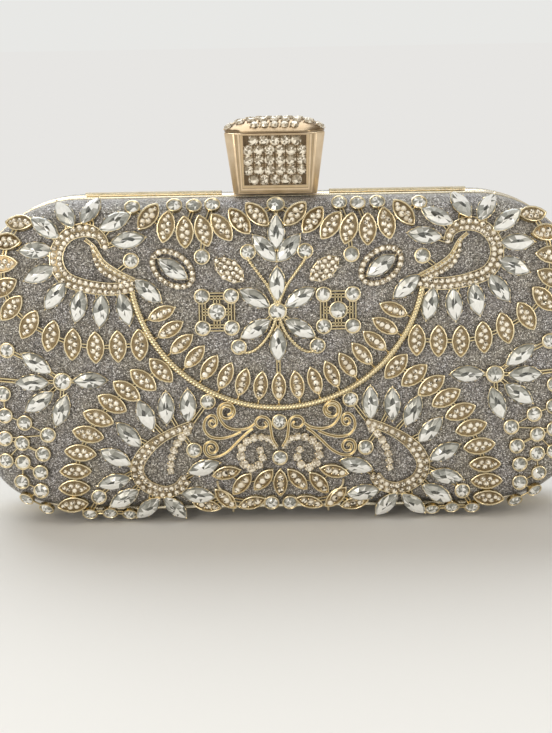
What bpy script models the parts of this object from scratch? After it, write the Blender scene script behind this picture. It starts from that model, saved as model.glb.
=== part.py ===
"""Jeweled evening clutch: a hard box case in two hinged halves, with a jewelled casting set over the front
fabric and a stone-set knob that rocks back to release the lid. Metres, +Z up, front towards -Y, origin on the
ground under the middle of the case."""

import math

import bpy
import bmesh
from mathutils import Matrix, Vector

# The case as a whole
BODY_WIDTH = 0.200
BODY_HEIGHT = 0.105
CORNER_RADIUS = 0.036
HALF_DEPTH = 0.022
EDGE_RADIUS = 0.009
CROWN = 0.0015
CROWN_INSET = 0.024
CORNER_STEPS = 4
EDGE_STEPS = 3
HIDDEN_STEPS = 2

# Layers of each half, from the outside in
COVER_INSET = 0.0004
COVER_WALL = 0.0007
SHELL_WALL = 0.0012
LINING_WALL = 0.0006
SEAM = 0.0003

# Frame rings
FRAME_DEPTH = 0.0032
FRAME_LIP = 0.0003
PARTING_GAP = 0.0003
BEVEL_DEPTH = 0.0013
BACK_CHAMFER = 0.0005

# Hinges
HINGE_SPACING_SHARE = 0.42
KNUCKLE_RADIUS = 0.0013
KNUCKLE_LENGTH = 0.0058
KNUCKLE_GAP = 0.0003
FLOOR_CLEARANCE = 0.0002
WELD = 0.000001
BORE_RADIUS = 0.00075
PIN_RADIUS = 0.0006
PIN_END = 0.0002
LEAF_WALL = 0.0008
LEAF_OFFSET = 0.0005
NOTCH_CLEARANCE = 0.0006
ROUND_SIDES = 8
OVERRUN = 0.002

# Top rail either side of the knob
RAIL_START = 0.0175
RAIL_END = 0.062
RAIL_RISE = 0.0008
RAIL_SETBACK = 0.0004
RAIL_BEVEL = 0.0002

# Knob
KNOB_BASE_WIDTH = 0.0268
KNOB_TOP_WIDTH = 0.0322
KNOB_BASE_DEPTH = 0.0165
KNOB_TOP_DEPTH = 0.0185
KNOB_FACE_HEIGHT = 0.0196
KNOB_LIFT = 0.0006
KNOB_OVERHANG = 0.0095
KNOB_CHAMFER_WIDTH = 0.0026
KNOB_CHAMFER_DEPTH = 0.0034
KNOB_WALL = 0.0015
KNOB_SIDE_WALL = 0.0022
KNOB_CAVITY_HEIGHT = 0.008
DOME_RISE = 0.0034
DOME_RIM = 0.0008
DOME_COLUMNS = 6
DOME_ROWS = 5
BORDER_WIDTH = 0.0012
BORDER_STEP = 0.0004
BORDER_INNER_WIDTH = 0.0010
RECESS_DEPTH = 0.0014
PANEL_THICKNESS = 0.0007
PANEL_COLUMNS = 6
PANEL_ROWS = 5
STONE_RISE = 0.0006

# Latch under the knob
PIVOT_BACK = 0.0034
PIVOT_RISE = 0.0030
PIVOT_PIN_RADIUS = 0.0008
PIVOT_BORE_RADIUS = 0.00105
BRACKET_WIDTH = 0.020
BRACKET_DEPTH = 0.0042
BRACKET_WALL = 0.0007
BRACKET_SETBACK = 0.0006
EAR_WALL = 0.0012
EAR_DEPTH = 0.0026
EAR_RISE = 0.0016
EAR_INSET = 0.0008
LUG_GAP = 0.0004
LEVER_WALL = 0.0010
LEVER_CEILING_GAP = 0.0005
NOSE_WIDTH = 0.008
NOSE_CLEARANCE = 0.00035
CATCH_WIDTH = 0.012
CATCH_DEPTH = 0.0012
CATCH_WALL = 0.0004
CATCH_GAP = 0.00025
RIVET_SPACING = 0.0092
RIVET_RADIUS = 0.0007
RIVET_HOLE_RADIUS = 0.0010
RIVET_HEAD_RADIUS = 0.0013
RIVET_HEAD_HEIGHT = 0.0005
SCREW_RADIUS = 0.0008
SCREW_HOLE_RADIUS = 0.0011
SCREW_HEAD_RADIUS = 0.0017
SCREW_HEAD_HEIGHT = 0.0006
SCREW_LENGTH = 0.0050
SCREW_FORWARD = 0.0079
SPRING_RADIUS = 0.0016
SPRING_WIRE_RADIUS = 0.00025
SPRING_LENGTH = 0.0048
SPRING_TURNS = 3.5
SPRING_LEG = 0.0024
TURN_POINTS = 6

# Stones and their settings, at the design size of the case
DESIGN_WIDTH = 0.200
DESIGN_HEIGHT = 0.105
SEAT_GAP = 0.0003
SETTING_HEIGHT = 0.0014
STONE_CROWN = 0.0009
NAVETTE_LENGTH = 0.0110
NAVETTE_WIDTH = 0.0054
PAVE_LEAF_LENGTH = 0.0098
PAVE_LEAF_WIDTH = 0.0046
FAN_LEAF_LENGTH = 0.0094
FAN_LEAF_WIDTH = 0.0042
WING_LEAF_LENGTH = 0.0116
WING_LEAF_WIDTH = 0.0064
LARGE_STONE = 0.0054
SMALL_STONE = 0.0045
LINK_RADIUS = 0.00045
ROPE_RADIUS = 0.0009
SCROLL_RADIUS = 0.0005
PAVE_BAND_RADIUS = 0.0012
WIRE_LIFT = 0.0010
WIRE_SAG = 0.0002
THIN_SIDES = 3
THICK_SIDES = 4
STEEPEST_SEAT = 52
LEAF_SHOULDER_SHARES = (0.45, 0.82)

# Worked out from the sizes above
HINGE_HEIGHT = KNUCKLE_RADIUS + FLOOR_CLEARANCE
FRAME_WIDTH = COVER_INSET + COVER_WALL + SHELL_WALL + LINING_WALL + SEAM * 2 + FRAME_LIP
RIM_DEPTH = PARTING_GAP / 2 + FRAME_DEPTH + SEAM
ORNAMENT_HEIGHT = SEAT_GAP + SETTING_HEIGHT + STONE_CROWN
PARTING = ORNAMENT_HEIGHT / 2
HALF_WIDTH = BODY_WIDTH / 2
HALF_HEIGHT = BODY_HEIGHT / 2
EDGE_CENTRE_INSET = COVER_INSET + EDGE_RADIUS
EDGE_CENTRE_DEPTH = HALF_DEPTH - CROWN - EDGE_RADIUS
KNOB_BASE = BODY_HEIGHT + KNOB_LIFT
KNOB_TOP = KNOB_BASE + KNOB_FACE_HEIGHT
KNOB_CENTRE = PARTING - KNOB_OVERHANG + KNOB_BASE_DEPTH / 2
PIVOT = Vector((0, PARTING + PIVOT_BACK, BODY_HEIGHT + PIVOT_RISE))
HINGE = Vector((0, PARTING, HINGE_HEIGHT))
STONE_SCALE = min(BODY_WIDTH / DESIGN_WIDTH, BODY_HEIGHT / DESIGN_HEIGHT)

# Finishes: colour, roughness, metallic
GOLD = ((0.80, 0.64, 0.36, 1), 0.25, 1.0)
ROSE_GOLD = ((0.82, 0.60, 0.42, 1), 0.28, 1.0)
STEEL = ((0.55, 0.55, 0.56, 1), 0.35, 1.0)
GLITTER = ((0.55, 0.54, 0.56, 1), 0.55, 0.2)
SHELL_METAL = ((0.45, 0.45, 0.46, 1), 0.50, 0.6)
LINING_CLOTH = ((0.42, 0.41, 0.43, 1), 0.90, 0.0)
CRYSTAL = ((0.90, 0.90, 0.92, 1), 0.08, 0.3)

halves = {}


def clear_scene():
    for found in list(bpy.data.objects):
        bpy.data.objects.remove(found, do_unlink=True)


def add_joint_empty(name, place, parent=None):
    empty = bpy.data.objects.new(name, None)
    empty.empty_display_size = BODY_HEIGHT / 5
    bpy.context.scene.collection.objects.link(empty)
    empty.parent = halves.get(parent)
    empty.location = place - (halves[parent].location if parent else Vector((0, 0, 0)))
    halves[name] = empty


def finish_material(name, finish):
    colour, roughness, metallic = finish
    material = bpy.data.materials.new(name)
    material.use_nodes = True
    shader = material.node_tree.nodes["Principled BSDF"]
    shader.inputs["Base Color"].default_value = colour
    shader.inputs["Roughness"].default_value = roughness
    shader.inputs["Metallic"].default_value = metallic
    material.diffuse_color = colour
    return material


def add_piece(name, bm, half, finish, smooth=False):
    """Makes a named piece from world-space geometry, with its origin on the joint that carries it."""
    bmesh.ops.recalc_face_normals(bm, faces=bm.faces)
    carrier = halves[half]
    pivot = carrier.matrix_world.translation
    bmesh.ops.translate(bm, verts=bm.verts, vec=-pivot)
    mesh = bpy.data.meshes.new(name)
    bm.to_mesh(mesh)
    bm.free()
    piece = bpy.data.objects.new(name, mesh)
    bpy.context.scene.collection.objects.link(piece)
    piece.parent = carrier
    piece.data.materials.append(finish_material(name, finish))
    if smooth:
        mesh.shade_smooth()
        mesh.set_sharp_from_angle(angle=math.radians(35))
    return piece


def add_guide(name, bm, half="back_half"):
    guide = add_piece(name, bm, half, STEEL)
    guide.hide_render = True
    guide.display_type = "WIRE"
    return guide


def combine(piece, guide, operation, crossing=False):
    step = piece.modifiers.new(operation.title() + " " + guide.name, "BOOLEAN")
    step.object = guide
    step.operation = operation
    step.use_self = crossing
    return piece


def add_box(bm, low, high):
    low, high = Vector(low), Vector(high)
    size = high - low
    place = Matrix.Translation((low + high) / 2) @ Matrix.Diagonal((size.x, size.y, size.z, 1))
    return bmesh.ops.create_cube(bm, size=1, matrix=place)["verts"]


def add_rod(bm, start, end, radius, sides=ROUND_SIDES, end_radius=None):
    start, end = Vector(start), Vector(end)
    way = end - start
    turn = way.to_track_quat("Z", "X").to_matrix().to_4x4()
    place = Matrix.Translation((start + end) / 2) @ turn
    bmesh.ops.create_cone(
        bm,
        cap_ends=True,
        segments=sides,
        radius1=radius,
        radius2=radius if end_radius is None else end_radius,
        depth=way.length,
        matrix=place,
    )


def outline(inset):
    """Points round the case, this far inside its outer edge."""
    points = []
    radius = CORNER_RADIUS - inset
    for corner in range(4):
        side = 1 if corner in (0, 3) else -1
        rise = 1 if corner in (0, 1) else -1
        centre_x = side * (HALF_WIDTH - CORNER_RADIUS)
        centre_z = HALF_HEIGHT + rise * (HALF_HEIGHT - CORNER_RADIUS)
        for step in range(CORNER_STEPS + 1):
            angle = math.radians(90 * (corner + step / CORNER_STEPS))
            points.append((centre_x + radius * math.cos(angle), centre_z + radius * math.sin(angle)))
    return points


def ring(inset, depth, side):
    return [Vector((x, PARTING + side * depth, z)) for x, z in outline(inset)]


def sweep(bm, rings, closed=False):
    """Draws a face out through these rings of points, and closes both ends, or joins the last to the first."""
    start = [bm.verts.new(point) for point in rings[0]]
    face = bm.faces.new(start)
    for points in rings[1:] + rings[:1] * closed:
        face = bmesh.ops.extrude_discrete_faces(bm, faces=[face])["faces"][0]
        for vert, point in zip(face.verts, points):
            vert.co = point
    edges = [edge for edge in bm.edges if edge.is_boundary]
    if closed:
        last = list(face.verts)
        bmesh.ops.delete(bm, geom=[face], context="FACES_ONLY")
        ends = [vert for edge in edges for vert in edge.verts]
        bmesh.ops.remove_doubles(bm, verts=list(set(ends + last)), dist=WELD)
    else:
        bmesh.ops.contextual_create(bm, geom=edges)


def layer_profile(inset, steps):
    """From the middle of the face to the rim: how far in and how deep a surface with this inset runs."""
    radius = EDGE_RADIUS - (inset - COVER_INSET)
    points = [(CROWN_INSET, HALF_DEPTH - (inset - COVER_INSET))]
    for step in range(steps + 1):
        angle = math.radians(90 * step / steps)
        points.append((EDGE_CENTRE_INSET - radius * math.sin(angle), EDGE_CENTRE_DEPTH + radius * math.cos(angle)))
    points.append((inset, RIM_DEPTH))
    return points


def add_layer(name, half, side, inset, wall, finish, steps):
    """One pressed or cut layer of a half: an open cup with a rounded edge and a slightly crowned face."""
    profile = layer_profile(inset, steps) + layer_profile(inset + wall, HIDDEN_STEPS)[::-1]
    bm = bmesh.new()
    sweep(bm, [ring(t, depth, side) for t, depth in profile])
    return add_piece(name, bm, half, finish, smooth=True)


def add_frame(name, half, side):
    """A cast rim whose outer edge is bevelled up to the hinge line, so that the halves can swing apart."""
    face = PARTING_GAP / 2
    back = face + FRAME_DEPTH
    profile = [
        (HINGE_HEIGHT, face),
        (0, face + BEVEL_DEPTH),
        (0, back - BACK_CHAMFER),
        (BACK_CHAMFER, back),
        (FRAME_WIDTH, back),
        (FRAME_WIDTH, face),
    ]
    bm = bmesh.new()
    sweep(bm, [ring(inset, depth, side) for inset, depth in profile], closed=True)
    return add_piece(name, bm, half, GOLD, smooth=True)


def hinge_centres():
    spacing = BODY_WIDTH * HINGE_SPACING_SHARE
    return (("left", -spacing / 2), ("right", spacing / 2))


def cut_hinge_notches(frames):
    reach = KNUCKLE_RADIUS + NOTCH_CLEARANCE
    half_length = KNUCKLE_LENGTH * 1.5 + KNUCKLE_GAP + NOTCH_CLEARANCE
    for word, centre in hinge_centres():
        bm = bmesh.new()
        add_box(
            bm,
            (centre - half_length, PARTING - reach, -OVERRUN),
            (centre + half_length, PARTING + reach, FRAME_WIDTH + OVERRUN),
        )
        notch = add_guide("hinge_notch_" + word, bm)
        for frame in frames:
            combine(frame, notch, "DIFFERENCE")


def add_hinge_leaf(name, half, side, centre, knuckles):
    """A plate on the inside of the frame, with a web down to each knuckle round the hinge line."""
    low = FRAME_WIDTH + SEAM
    near = PARTING + side * LEAF_OFFSET
    far = PARTING + side * (PARTING_GAP / 2 + FRAME_DEPTH)
    half_length = KNUCKLE_LENGTH * 1.5 + KNUCKLE_GAP
    bm = bmesh.new()
    add_box(
        bm,
        (centre - half_length, min(near, far), low),
        (centre + half_length, max(near, far), low + LEAF_WALL),
    )
    leaf = add_piece(name, bm, half, GOLD)
    bm = bmesh.new()
    web_far = near + side * LEAF_WALL
    for place in knuckles:
        start = centre + place - KNUCKLE_LENGTH / 2
        end = centre + place + KNUCKLE_LENGTH / 2
        add_rod(bm, (start, HINGE.y, HINGE.z), (end, HINGE.y, HINGE.z), KNUCKLE_RADIUS)
        add_box(
            bm,
            (start + KNUCKLE_GAP, min(near, web_far), HINGE.z),
            (end - KNUCKLE_GAP, max(near, web_far), low + LEAF_WALL / 2),
        )
    combine(leaf, add_guide(name + "_knuckles", bm), "UNION", crossing=True)
    bm = bmesh.new()
    add_rod(
        bm,
        (centre - half_length - OVERRUN, HINGE.y, HINGE.z),
        (centre + half_length + OVERRUN, HINGE.y, HINGE.z),
        BORE_RADIUS,
    )
    return combine(leaf, add_guide(name + "_bore", bm), "DIFFERENCE")


def add_hinges():
    pitch = KNUCKLE_LENGTH + KNUCKLE_GAP
    half_length = KNUCKLE_LENGTH * 1.5 + KNUCKLE_GAP + PIN_END
    for word, centre in hinge_centres():
        add_hinge_leaf("front_hinge_leaf_" + word, "front_half", -1, centre, (0,))
        add_hinge_leaf("back_hinge_leaf_" + word, "back_half", 1, centre, (-pitch, pitch))
        bm = bmesh.new()
        add_rod(
            bm,
            (centre - half_length, HINGE.y, HINGE.z),
            (centre + half_length, HINGE.y, HINGE.z),
            PIN_RADIUS,
        )
        add_piece("hinge_pin_" + word, bm, "back_half", STEEL, smooth=True)


def add_rails():
    near = PARTING + RAIL_SETBACK
    far = PARTING + PARTING_GAP / 2 + FRAME_DEPTH - RAIL_SETBACK
    base = BODY_HEIGHT + SEAM
    for word, side in (("left", -1), ("right", 1)):
        bm = bmesh.new()
        ends = sorted((side * RAIL_START, side * RAIL_END))
        add_box(bm, (ends[0], near, base), (ends[1], far, base + RAIL_RISE))
        top = [edge for edge in bm.edges if min(vert.co.z for vert in edge.verts) > base]
        bmesh.ops.bevel(bm, geom=top, offset=RAIL_BEVEL, segments=1, affect="EDGES", profile=0.5)
        add_piece("top_rail_" + word, bm, "back_half", GOLD)


def knob_plan(width, depth):
    """The knob seen from above: a rectangle with its corners cut off, anticlockwise from the front right."""
    x = width / 2
    y = depth / 2
    cut_x = x - KNOB_CHAMFER_WIDTH
    cut_y = y - KNOB_CHAMFER_DEPTH
    return [(cut_x, -y), (x, -cut_y), (x, cut_y), (cut_x, y), (-cut_x, y), (-x, cut_y), (-x, -cut_y), (-cut_x, -y)]


def add_knob_body():
    bm = bmesh.new()
    base = [(x, KNOB_CENTRE + y, KNOB_BASE) for x, y in knob_plan(KNOB_BASE_WIDTH, KNOB_BASE_DEPTH)]
    top = [(x, KNOB_CENTRE + y, KNOB_TOP) for x, y in knob_plan(KNOB_TOP_WIDTH, KNOB_TOP_DEPTH)]
    sweep(bm, [base, top])
    bmesh.ops.recalc_face_normals(bm, faces=bm.faces)
    front = min((face for face in bm.faces), key=lambda face: face.calc_center_median().y)
    bmesh.ops.inset_region(bm, faces=[front], thickness=BORDER_WIDTH, use_even_offset=True)
    bmesh.ops.inset_region(bm, faces=[front], thickness=BORDER_STEP, depth=-BORDER_STEP, use_even_offset=True)
    bmesh.ops.inset_region(bm, faces=[front], thickness=BORDER_INNER_WIDTH, use_even_offset=True)
    sunk = bmesh.ops.extrude_discrete_faces(bm, faces=[front])["faces"][0]
    bmesh.ops.translate(bm, verts=sunk.verts, vec=sunk.normal * -(RECESS_DEPTH - BORDER_STEP))
    knob = add_piece("knob_body", bm, "knob_latch", ROSE_GOLD)
    bm = bmesh.new()
    half_width = KNOB_BASE_WIDTH / 2 - KNOB_SIDE_WALL
    add_box(
        bm,
        (-half_width, PARTING - KNOB_OVERHANG + KNOB_WALL, KNOB_BASE - OVERRUN),
        (half_width, KNOB_CENTRE + KNOB_BASE_DEPTH / 2 - KNOB_WALL, KNOB_BASE + KNOB_CAVITY_HEIGHT),
    )
    combine(knob, add_guide("knob_cavity", bm, "knob_latch"), "DIFFERENCE")
    bm = bmesh.new()
    ceiling = KNOB_BASE + KNOB_CAVITY_HEIGHT
    add_rod(
        bm,
        (0, PIVOT.y - SCREW_FORWARD, ceiling - OVERRUN),
        (0, PIVOT.y - SCREW_FORWARD, ceiling + SCREW_LENGTH),
        SCREW_HOLE_RADIUS,
    )
    return combine(knob, add_guide("knob_screw_hole", bm, "knob_latch"), "DIFFERENCE")


def add_knob_panel():
    """The stone-set plate in the knob's front recess: it follows the tapered, leaning face."""
    lean = math.atan2((KNOB_TOP_DEPTH - KNOB_BASE_DEPTH) / 2, KNOB_FACE_HEIGHT)
    face_height = KNOB_FACE_HEIGHT / math.cos(lean)
    border = BORDER_WIDTH + BORDER_STEP + BORDER_INNER_WIDTH + SEAM
    outward = Vector((0, -math.cos(lean), -math.sin(lean)))
    upward = Vector((0, -math.sin(lean), math.cos(lean)))
    foot = Vector((0, PARTING - KNOB_OVERHANG, KNOB_BASE))
    base_half = KNOB_BASE_WIDTH / 2 - KNOB_CHAMFER_WIDTH
    top_half = KNOB_TOP_WIDTH / 2 - KNOB_CHAMFER_WIDTH
    side_slope = (top_half - base_half) / face_height
    bm = bmesh.new()
    bmesh.ops.create_grid(bm, x_segments=PANEL_COLUMNS, y_segments=PANEL_ROWS, size=1)
    for vert in bm.verts:
        height = border + (face_height - border * 2) * (vert.co.y + 1) / 2
        reach = base_half + side_slope * height - border / math.cos(math.atan(side_slope))
        vert.co = foot + upward * height + Vector((vert.co.x * reach, 0, 0)) - outward * (RECESS_DEPTH - SEAM)
    front = list(bm.faces)
    back = bmesh.ops.extrude_face_region(bm, geom=front, use_keep_orig=True)["geom"]
    raised = [item for item in back if isinstance(item, bmesh.types.BMVert)]
    bmesh.ops.translate(bm, verts=raised, vec=outward * PANEL_THICKNESS)
    bmesh.ops.recalc_face_normals(bm, faces=bm.faces)
    set_faces = [item for item in back if isinstance(item, bmesh.types.BMFace)]
    bmesh.ops.poke(bm, faces=set_faces, offset=STONE_RISE)
    hidden = [face for face in bm.faces if face.normal.dot(outward) < -0.9]
    bmesh.ops.dissolve_faces(bm, faces=hidden)
    return add_piece("knob_front_panel", bm, "knob_latch", CRYSTAL)


def add_knob_dome():
    """The stone-set cap over the knob: a crowned grid whose edge follows the knob's plan."""
    half_width = KNOB_TOP_WIDTH / 2
    half_depth = KNOB_TOP_DEPTH / 2
    base = KNOB_TOP + SEAM
    bm = bmesh.new()
    bmesh.ops.create_grid(bm, x_segments=DOME_COLUMNS, y_segments=DOME_ROWS, size=1)
    for vert in bm.verts:
        across, along = vert.co.x, vert.co.y
        rise = DOME_RIM + DOME_RISE * (1 - across**4) * (1 - along**2)
        x = across * (half_width - KNOB_CHAMFER_WIDTH * along**4)
        y = along * (half_depth - KNOB_CHAMFER_DEPTH * across**8)
        vert.co = Vector((x, KNOB_CENTRE + y, base + rise))
    top = list(bm.faces)
    lower = bmesh.ops.extrude_face_region(bm, geom=top, use_keep_orig=True)["geom"]
    for item in lower:
        if isinstance(item, bmesh.types.BMVert):
            item.co.z = base
    bmesh.ops.recalc_face_normals(bm, faces=bm.faces)
    bmesh.ops.poke(bm, faces=top, offset=STONE_RISE)
    flat = [face for face in bm.faces if face.normal.z < -0.9]
    bmesh.ops.dissolve_faces(bm, faces=flat)
    return add_piece("knob_dome", bm, "knob_latch", CRYSTAL)


def add_bracket():
    """The bracket on the back frame: a plate with two ears that hold the pivot pin."""
    base = BODY_HEIGHT + SEAM
    front = PARTING + BRACKET_SETBACK
    half_width = BRACKET_WIDTH / 2
    bm = bmesh.new()
    add_box(bm, (-half_width, front, base), (half_width, front + BRACKET_DEPTH, base + BRACKET_WALL))
    bracket = add_piece("latch_bracket", bm, "back_half", STEEL)
    bm = bmesh.new()
    for side in (-1, 1):
        outer = side * (half_width - EAR_INSET)
        inner = outer - side * EAR_WALL
        add_box(
            bm,
            (min(outer, inner), PIVOT.y - EAR_DEPTH / 2, base + BRACKET_WALL / 2),
            (max(outer, inner), PIVOT.y + EAR_DEPTH / 2, PIVOT.z + EAR_RISE),
        )
    combine(bracket, add_guide("bracket_ears", bm), "UNION")
    bm = bmesh.new()
    add_rod(
        bm,
        (-half_width - OVERRUN, PIVOT.y, PIVOT.z),
        (half_width + OVERRUN, PIVOT.y, PIVOT.z),
        PIVOT_BORE_RADIUS,
    )
    return combine(bracket, add_guide("bracket_bore", bm), "DIFFERENCE")


def add_rivets(bracket, frame):
    """Two rivets through the bracket and the top of the back frame."""
    y = PARTING + PARTING_GAP / 2 + FRAME_DEPTH / 2
    half_width = RIVET_SPACING / 2
    head_base = BODY_HEIGHT + SEAM * 2 + BRACKET_WALL
    tail_top = BODY_HEIGHT - FRAME_WIDTH - SEAM
    for word, side in (("left", -1), ("right", 1)):
        x = side * half_width
        bm = bmesh.new()
        add_rod(bm, (x, y, tail_top - OVERRUN), (x, y, head_base + OVERRUN), RIVET_HOLE_RADIUS)
        hole = add_guide("rivet_hole_" + word, bm)
        combine(bracket, hole, "DIFFERENCE")
        combine(frame, hole, "DIFFERENCE")
        bm = bmesh.new()
        add_rod(bm, (x, y, tail_top - RIVET_HEAD_HEIGHT / 2), (x, y, head_base + RIVET_HEAD_HEIGHT / 2), RIVET_RADIUS)
        rivet = add_piece("bracket_rivet_" + word, bm, "back_half", STEEL, smooth=True)
        bm = bmesh.new()
        add_rod(bm, (x, y, head_base), (x, y, head_base + RIVET_HEAD_HEIGHT), RIVET_HEAD_RADIUS)
        add_rod(bm, (x, y, tail_top - RIVET_HEAD_HEIGHT), (x, y, tail_top), RIVET_HEAD_RADIUS)
        combine(rivet, add_guide("rivet_heads_" + word, bm), "UNION")


def add_lever():
    """The lever inside the knob: a plate screwed under its ceiling, two lugs on the pin and a nose at the front."""
    top = KNOB_BASE + KNOB_CAVITY_HEIGHT - LEVER_CEILING_GAP
    lug_outer = BRACKET_WIDTH / 2 - EAR_INSET - EAR_WALL - LUG_GAP
    plate_front = PARTING - KNOB_OVERHANG + KNOB_WALL + LUG_GAP
    nose_front = PARTING - PARTING_GAP - CATCH_DEPTH
    bm = bmesh.new()
    add_box(bm, (-lug_outer, plate_front, top - LEVER_WALL), (lug_outer, PIVOT.y + EAR_DEPTH / 2, top))
    lever = add_piece("latch_lever", bm, "knob_latch", STEEL)
    bm = bmesh.new()
    for side in (-1, 1):
        inner = side * (lug_outer - EAR_WALL)
        add_box(
            bm,
            (min(side * lug_outer, inner), PIVOT.y - EAR_DEPTH / 2, PIVOT.z - EAR_RISE),
            (max(side * lug_outer, inner), PIVOT.y + EAR_DEPTH / 2, top - LEVER_WALL / 2),
        )
    nose_base = BODY_HEIGHT + CATCH_GAP + CATCH_WALL + NOSE_CLEARANCE
    add_box(
        bm,
        (-NOSE_WIDTH / 2, nose_front, nose_base),
        (NOSE_WIDTH / 2, nose_front + LEVER_WALL, top - LEVER_WALL / 2),
    )
    combine(lever, add_guide("lever_lugs", bm, "knob_latch"), "UNION")
    bm = bmesh.new()
    add_rod(bm, (-BRACKET_WIDTH / 2, PIVOT.y, PIVOT.z), (BRACKET_WIDTH / 2, PIVOT.y, PIVOT.z), PIVOT_BORE_RADIUS)
    screw_y = PIVOT.y - SCREW_FORWARD
    add_rod(bm, (0, screw_y, top - LEVER_WALL - OVERRUN), (0, screw_y, top + OVERRUN), SCREW_HOLE_RADIUS)
    combine(lever, add_guide("lever_bores", bm, "knob_latch"), "DIFFERENCE")
    head_top = top - LEVER_WALL - SEAM
    bm = bmesh.new()
    add_rod(bm, (0, screw_y, head_top - SCREW_HEAD_HEIGHT), (0, screw_y, head_top), SCREW_HEAD_RADIUS)
    screw = add_piece("knob_screw", bm, "knob_latch", STEEL, smooth=True)
    bm = bmesh.new()
    tip = KNOB_BASE + KNOB_CAVITY_HEIGHT + SCREW_LENGTH - SEAM
    add_rod(bm, (0, screw_y, head_top - SCREW_HEAD_HEIGHT / 2), (0, screw_y, tip), SCREW_RADIUS)
    combine(screw, add_guide("knob_screw_shank", bm, "knob_latch"), "UNION")


def add_pivot_and_spring():
    half_length = BRACKET_WIDTH / 2 - EAR_INSET + PIN_END
    bm = bmesh.new()
    add_rod(bm, (-half_length, PIVOT.y, PIVOT.z), (half_length, PIVOT.y, PIVOT.z), PIVOT_PIN_RADIUS)
    add_piece("latch_pivot_pin", bm, "back_half", STEEL, smooth=True)
    points = []
    count = int(SPRING_TURNS * TURN_POINTS)
    for step in range(count + 1):
        angle = math.radians(360 * step / TURN_POINTS)
        x = SPRING_LENGTH * (step / count - 0.5)
        points.append(PIVOT + Vector((x, SPRING_RADIUS * math.sin(angle), -SPRING_RADIUS * math.cos(angle))))
    points.insert(0, points[0] + Vector((0, -SPRING_LEG, 0)))
    points.append(points[-1] + Vector((0, -SPRING_LEG, SPRING_LEG)))
    bm = bmesh.new()
    add_tube(bm, points, [Vector((1, 0, 0))] * len(points), SPRING_WIRE_RADIUS, THIN_SIDES)
    add_piece("latch_spring", bm, "back_half", STEEL, smooth=True)


def add_catch():
    """The low striker on the front frame that the lever's nose closes over."""
    back = PARTING - PARTING_GAP
    base = BODY_HEIGHT + CATCH_GAP
    bm = bmesh.new()
    add_box(bm, (-CATCH_WIDTH / 2, back - CATCH_DEPTH, base), (CATCH_WIDTH / 2, back, base + CATCH_WALL))
    add_piece("latch_catch", bm, "front_half", STEEL)


def seat(x, z):
    """The place on the front fabric at x, z, and the way it faces there."""
    across = abs(x) - (HALF_WIDTH - CORNER_RADIUS)
    along = abs(z - HALF_HEIGHT) - (HALF_HEIGHT - CORNER_RADIUS)
    if across > 0 and along > 0:
        reach = math.hypot(across, along)
        out = Vector((math.copysign(across / reach, x), 0, math.copysign(along / reach, z - HALF_HEIGHT)))
    elif across > along:
        reach = across
        out = Vector((math.copysign(1, x), 0, 0))
    else:
        reach = along
        out = Vector((0, 0, math.copysign(1, z - HALF_HEIGHT)))
    inset = max(CORNER_RADIUS - reach - COVER_INSET, 0)
    if inset < EDGE_RADIUS:
        tilt = math.asin((EDGE_RADIUS - inset) / EDGE_RADIUS)
        depth = EDGE_CENTRE_DEPTH + EDGE_RADIUS * math.cos(tilt)
    else:
        run = CROWN_INSET - COVER_INSET - EDGE_RADIUS
        share = min((inset - EDGE_RADIUS) / run, 1)
        tilt = math.atan(CROWN / run) if share < 1 else 0
        depth = HALF_DEPTH - CROWN + CROWN * share
    tilt = min(tilt, math.radians(STEEPEST_SEAT))
    normal = out * math.sin(tilt) + Vector((0, -math.cos(tilt), 0))
    return Vector((x, PARTING - depth, z)), normal


def at(across_share, height_share):
    """A place on the front, from its share of the half width and of the height."""
    return across_share * HALF_WIDTH, height_share * BODY_HEIGHT


def add_stone(bm, x, z, turn, length, width):
    """A setting with its stone: a pointed oval, or a round where length and width are one. Turn leans its top
    towards +X, in degrees. A leaf of small stones is flat on top, and a single stone comes to a point."""
    domed = length in (NAVETTE_LENGTH, LARGE_STONE, WING_LEAF_LENGTH)
    half_length = STONE_SCALE * length / 2
    half_width = STONE_SCALE * width / 2
    place, normal = seat(x, z)
    along = Vector((math.sin(math.radians(turn)), 0, math.cos(math.radians(turn))))
    along = (along - normal * along.dot(normal)).normalized()
    side = normal.cross(along)
    if length == width:
        steps = [math.radians(60 * step + 30) for step in range(6)]
        shape = [(math.cos(step), math.sin(step)) for step in steps]
    else:
        near, wide = LEAF_SHOULDER_SHARES
        shape = [(1, 0), (near, wide), (-near, wide), (-1, 0), (-near, -wide), (near, -wide)]
    base = place + normal * SEAT_GAP
    verts = [bm.verts.new(base + along * u * half_length + side * v * half_width) for u, v in shape]
    foot = bm.faces.new(verts)
    top = bmesh.ops.extrude_face_region(bm, geom=[foot], use_keep_orig=True)["geom"]
    raised = [item for item in top if isinstance(item, bmesh.types.BMVert)]
    bmesh.ops.translate(bm, verts=raised, vec=normal * SETTING_HEIGHT)
    table = next(item for item in top if isinstance(item, bmesh.types.BMFace))
    table.normal_update()
    rise = STONE_CROWN if table.normal.dot(normal) > 0 else -STONE_CROWN
    if domed:
        bmesh.ops.poke(bm, faces=[table], offset=rise)


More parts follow.
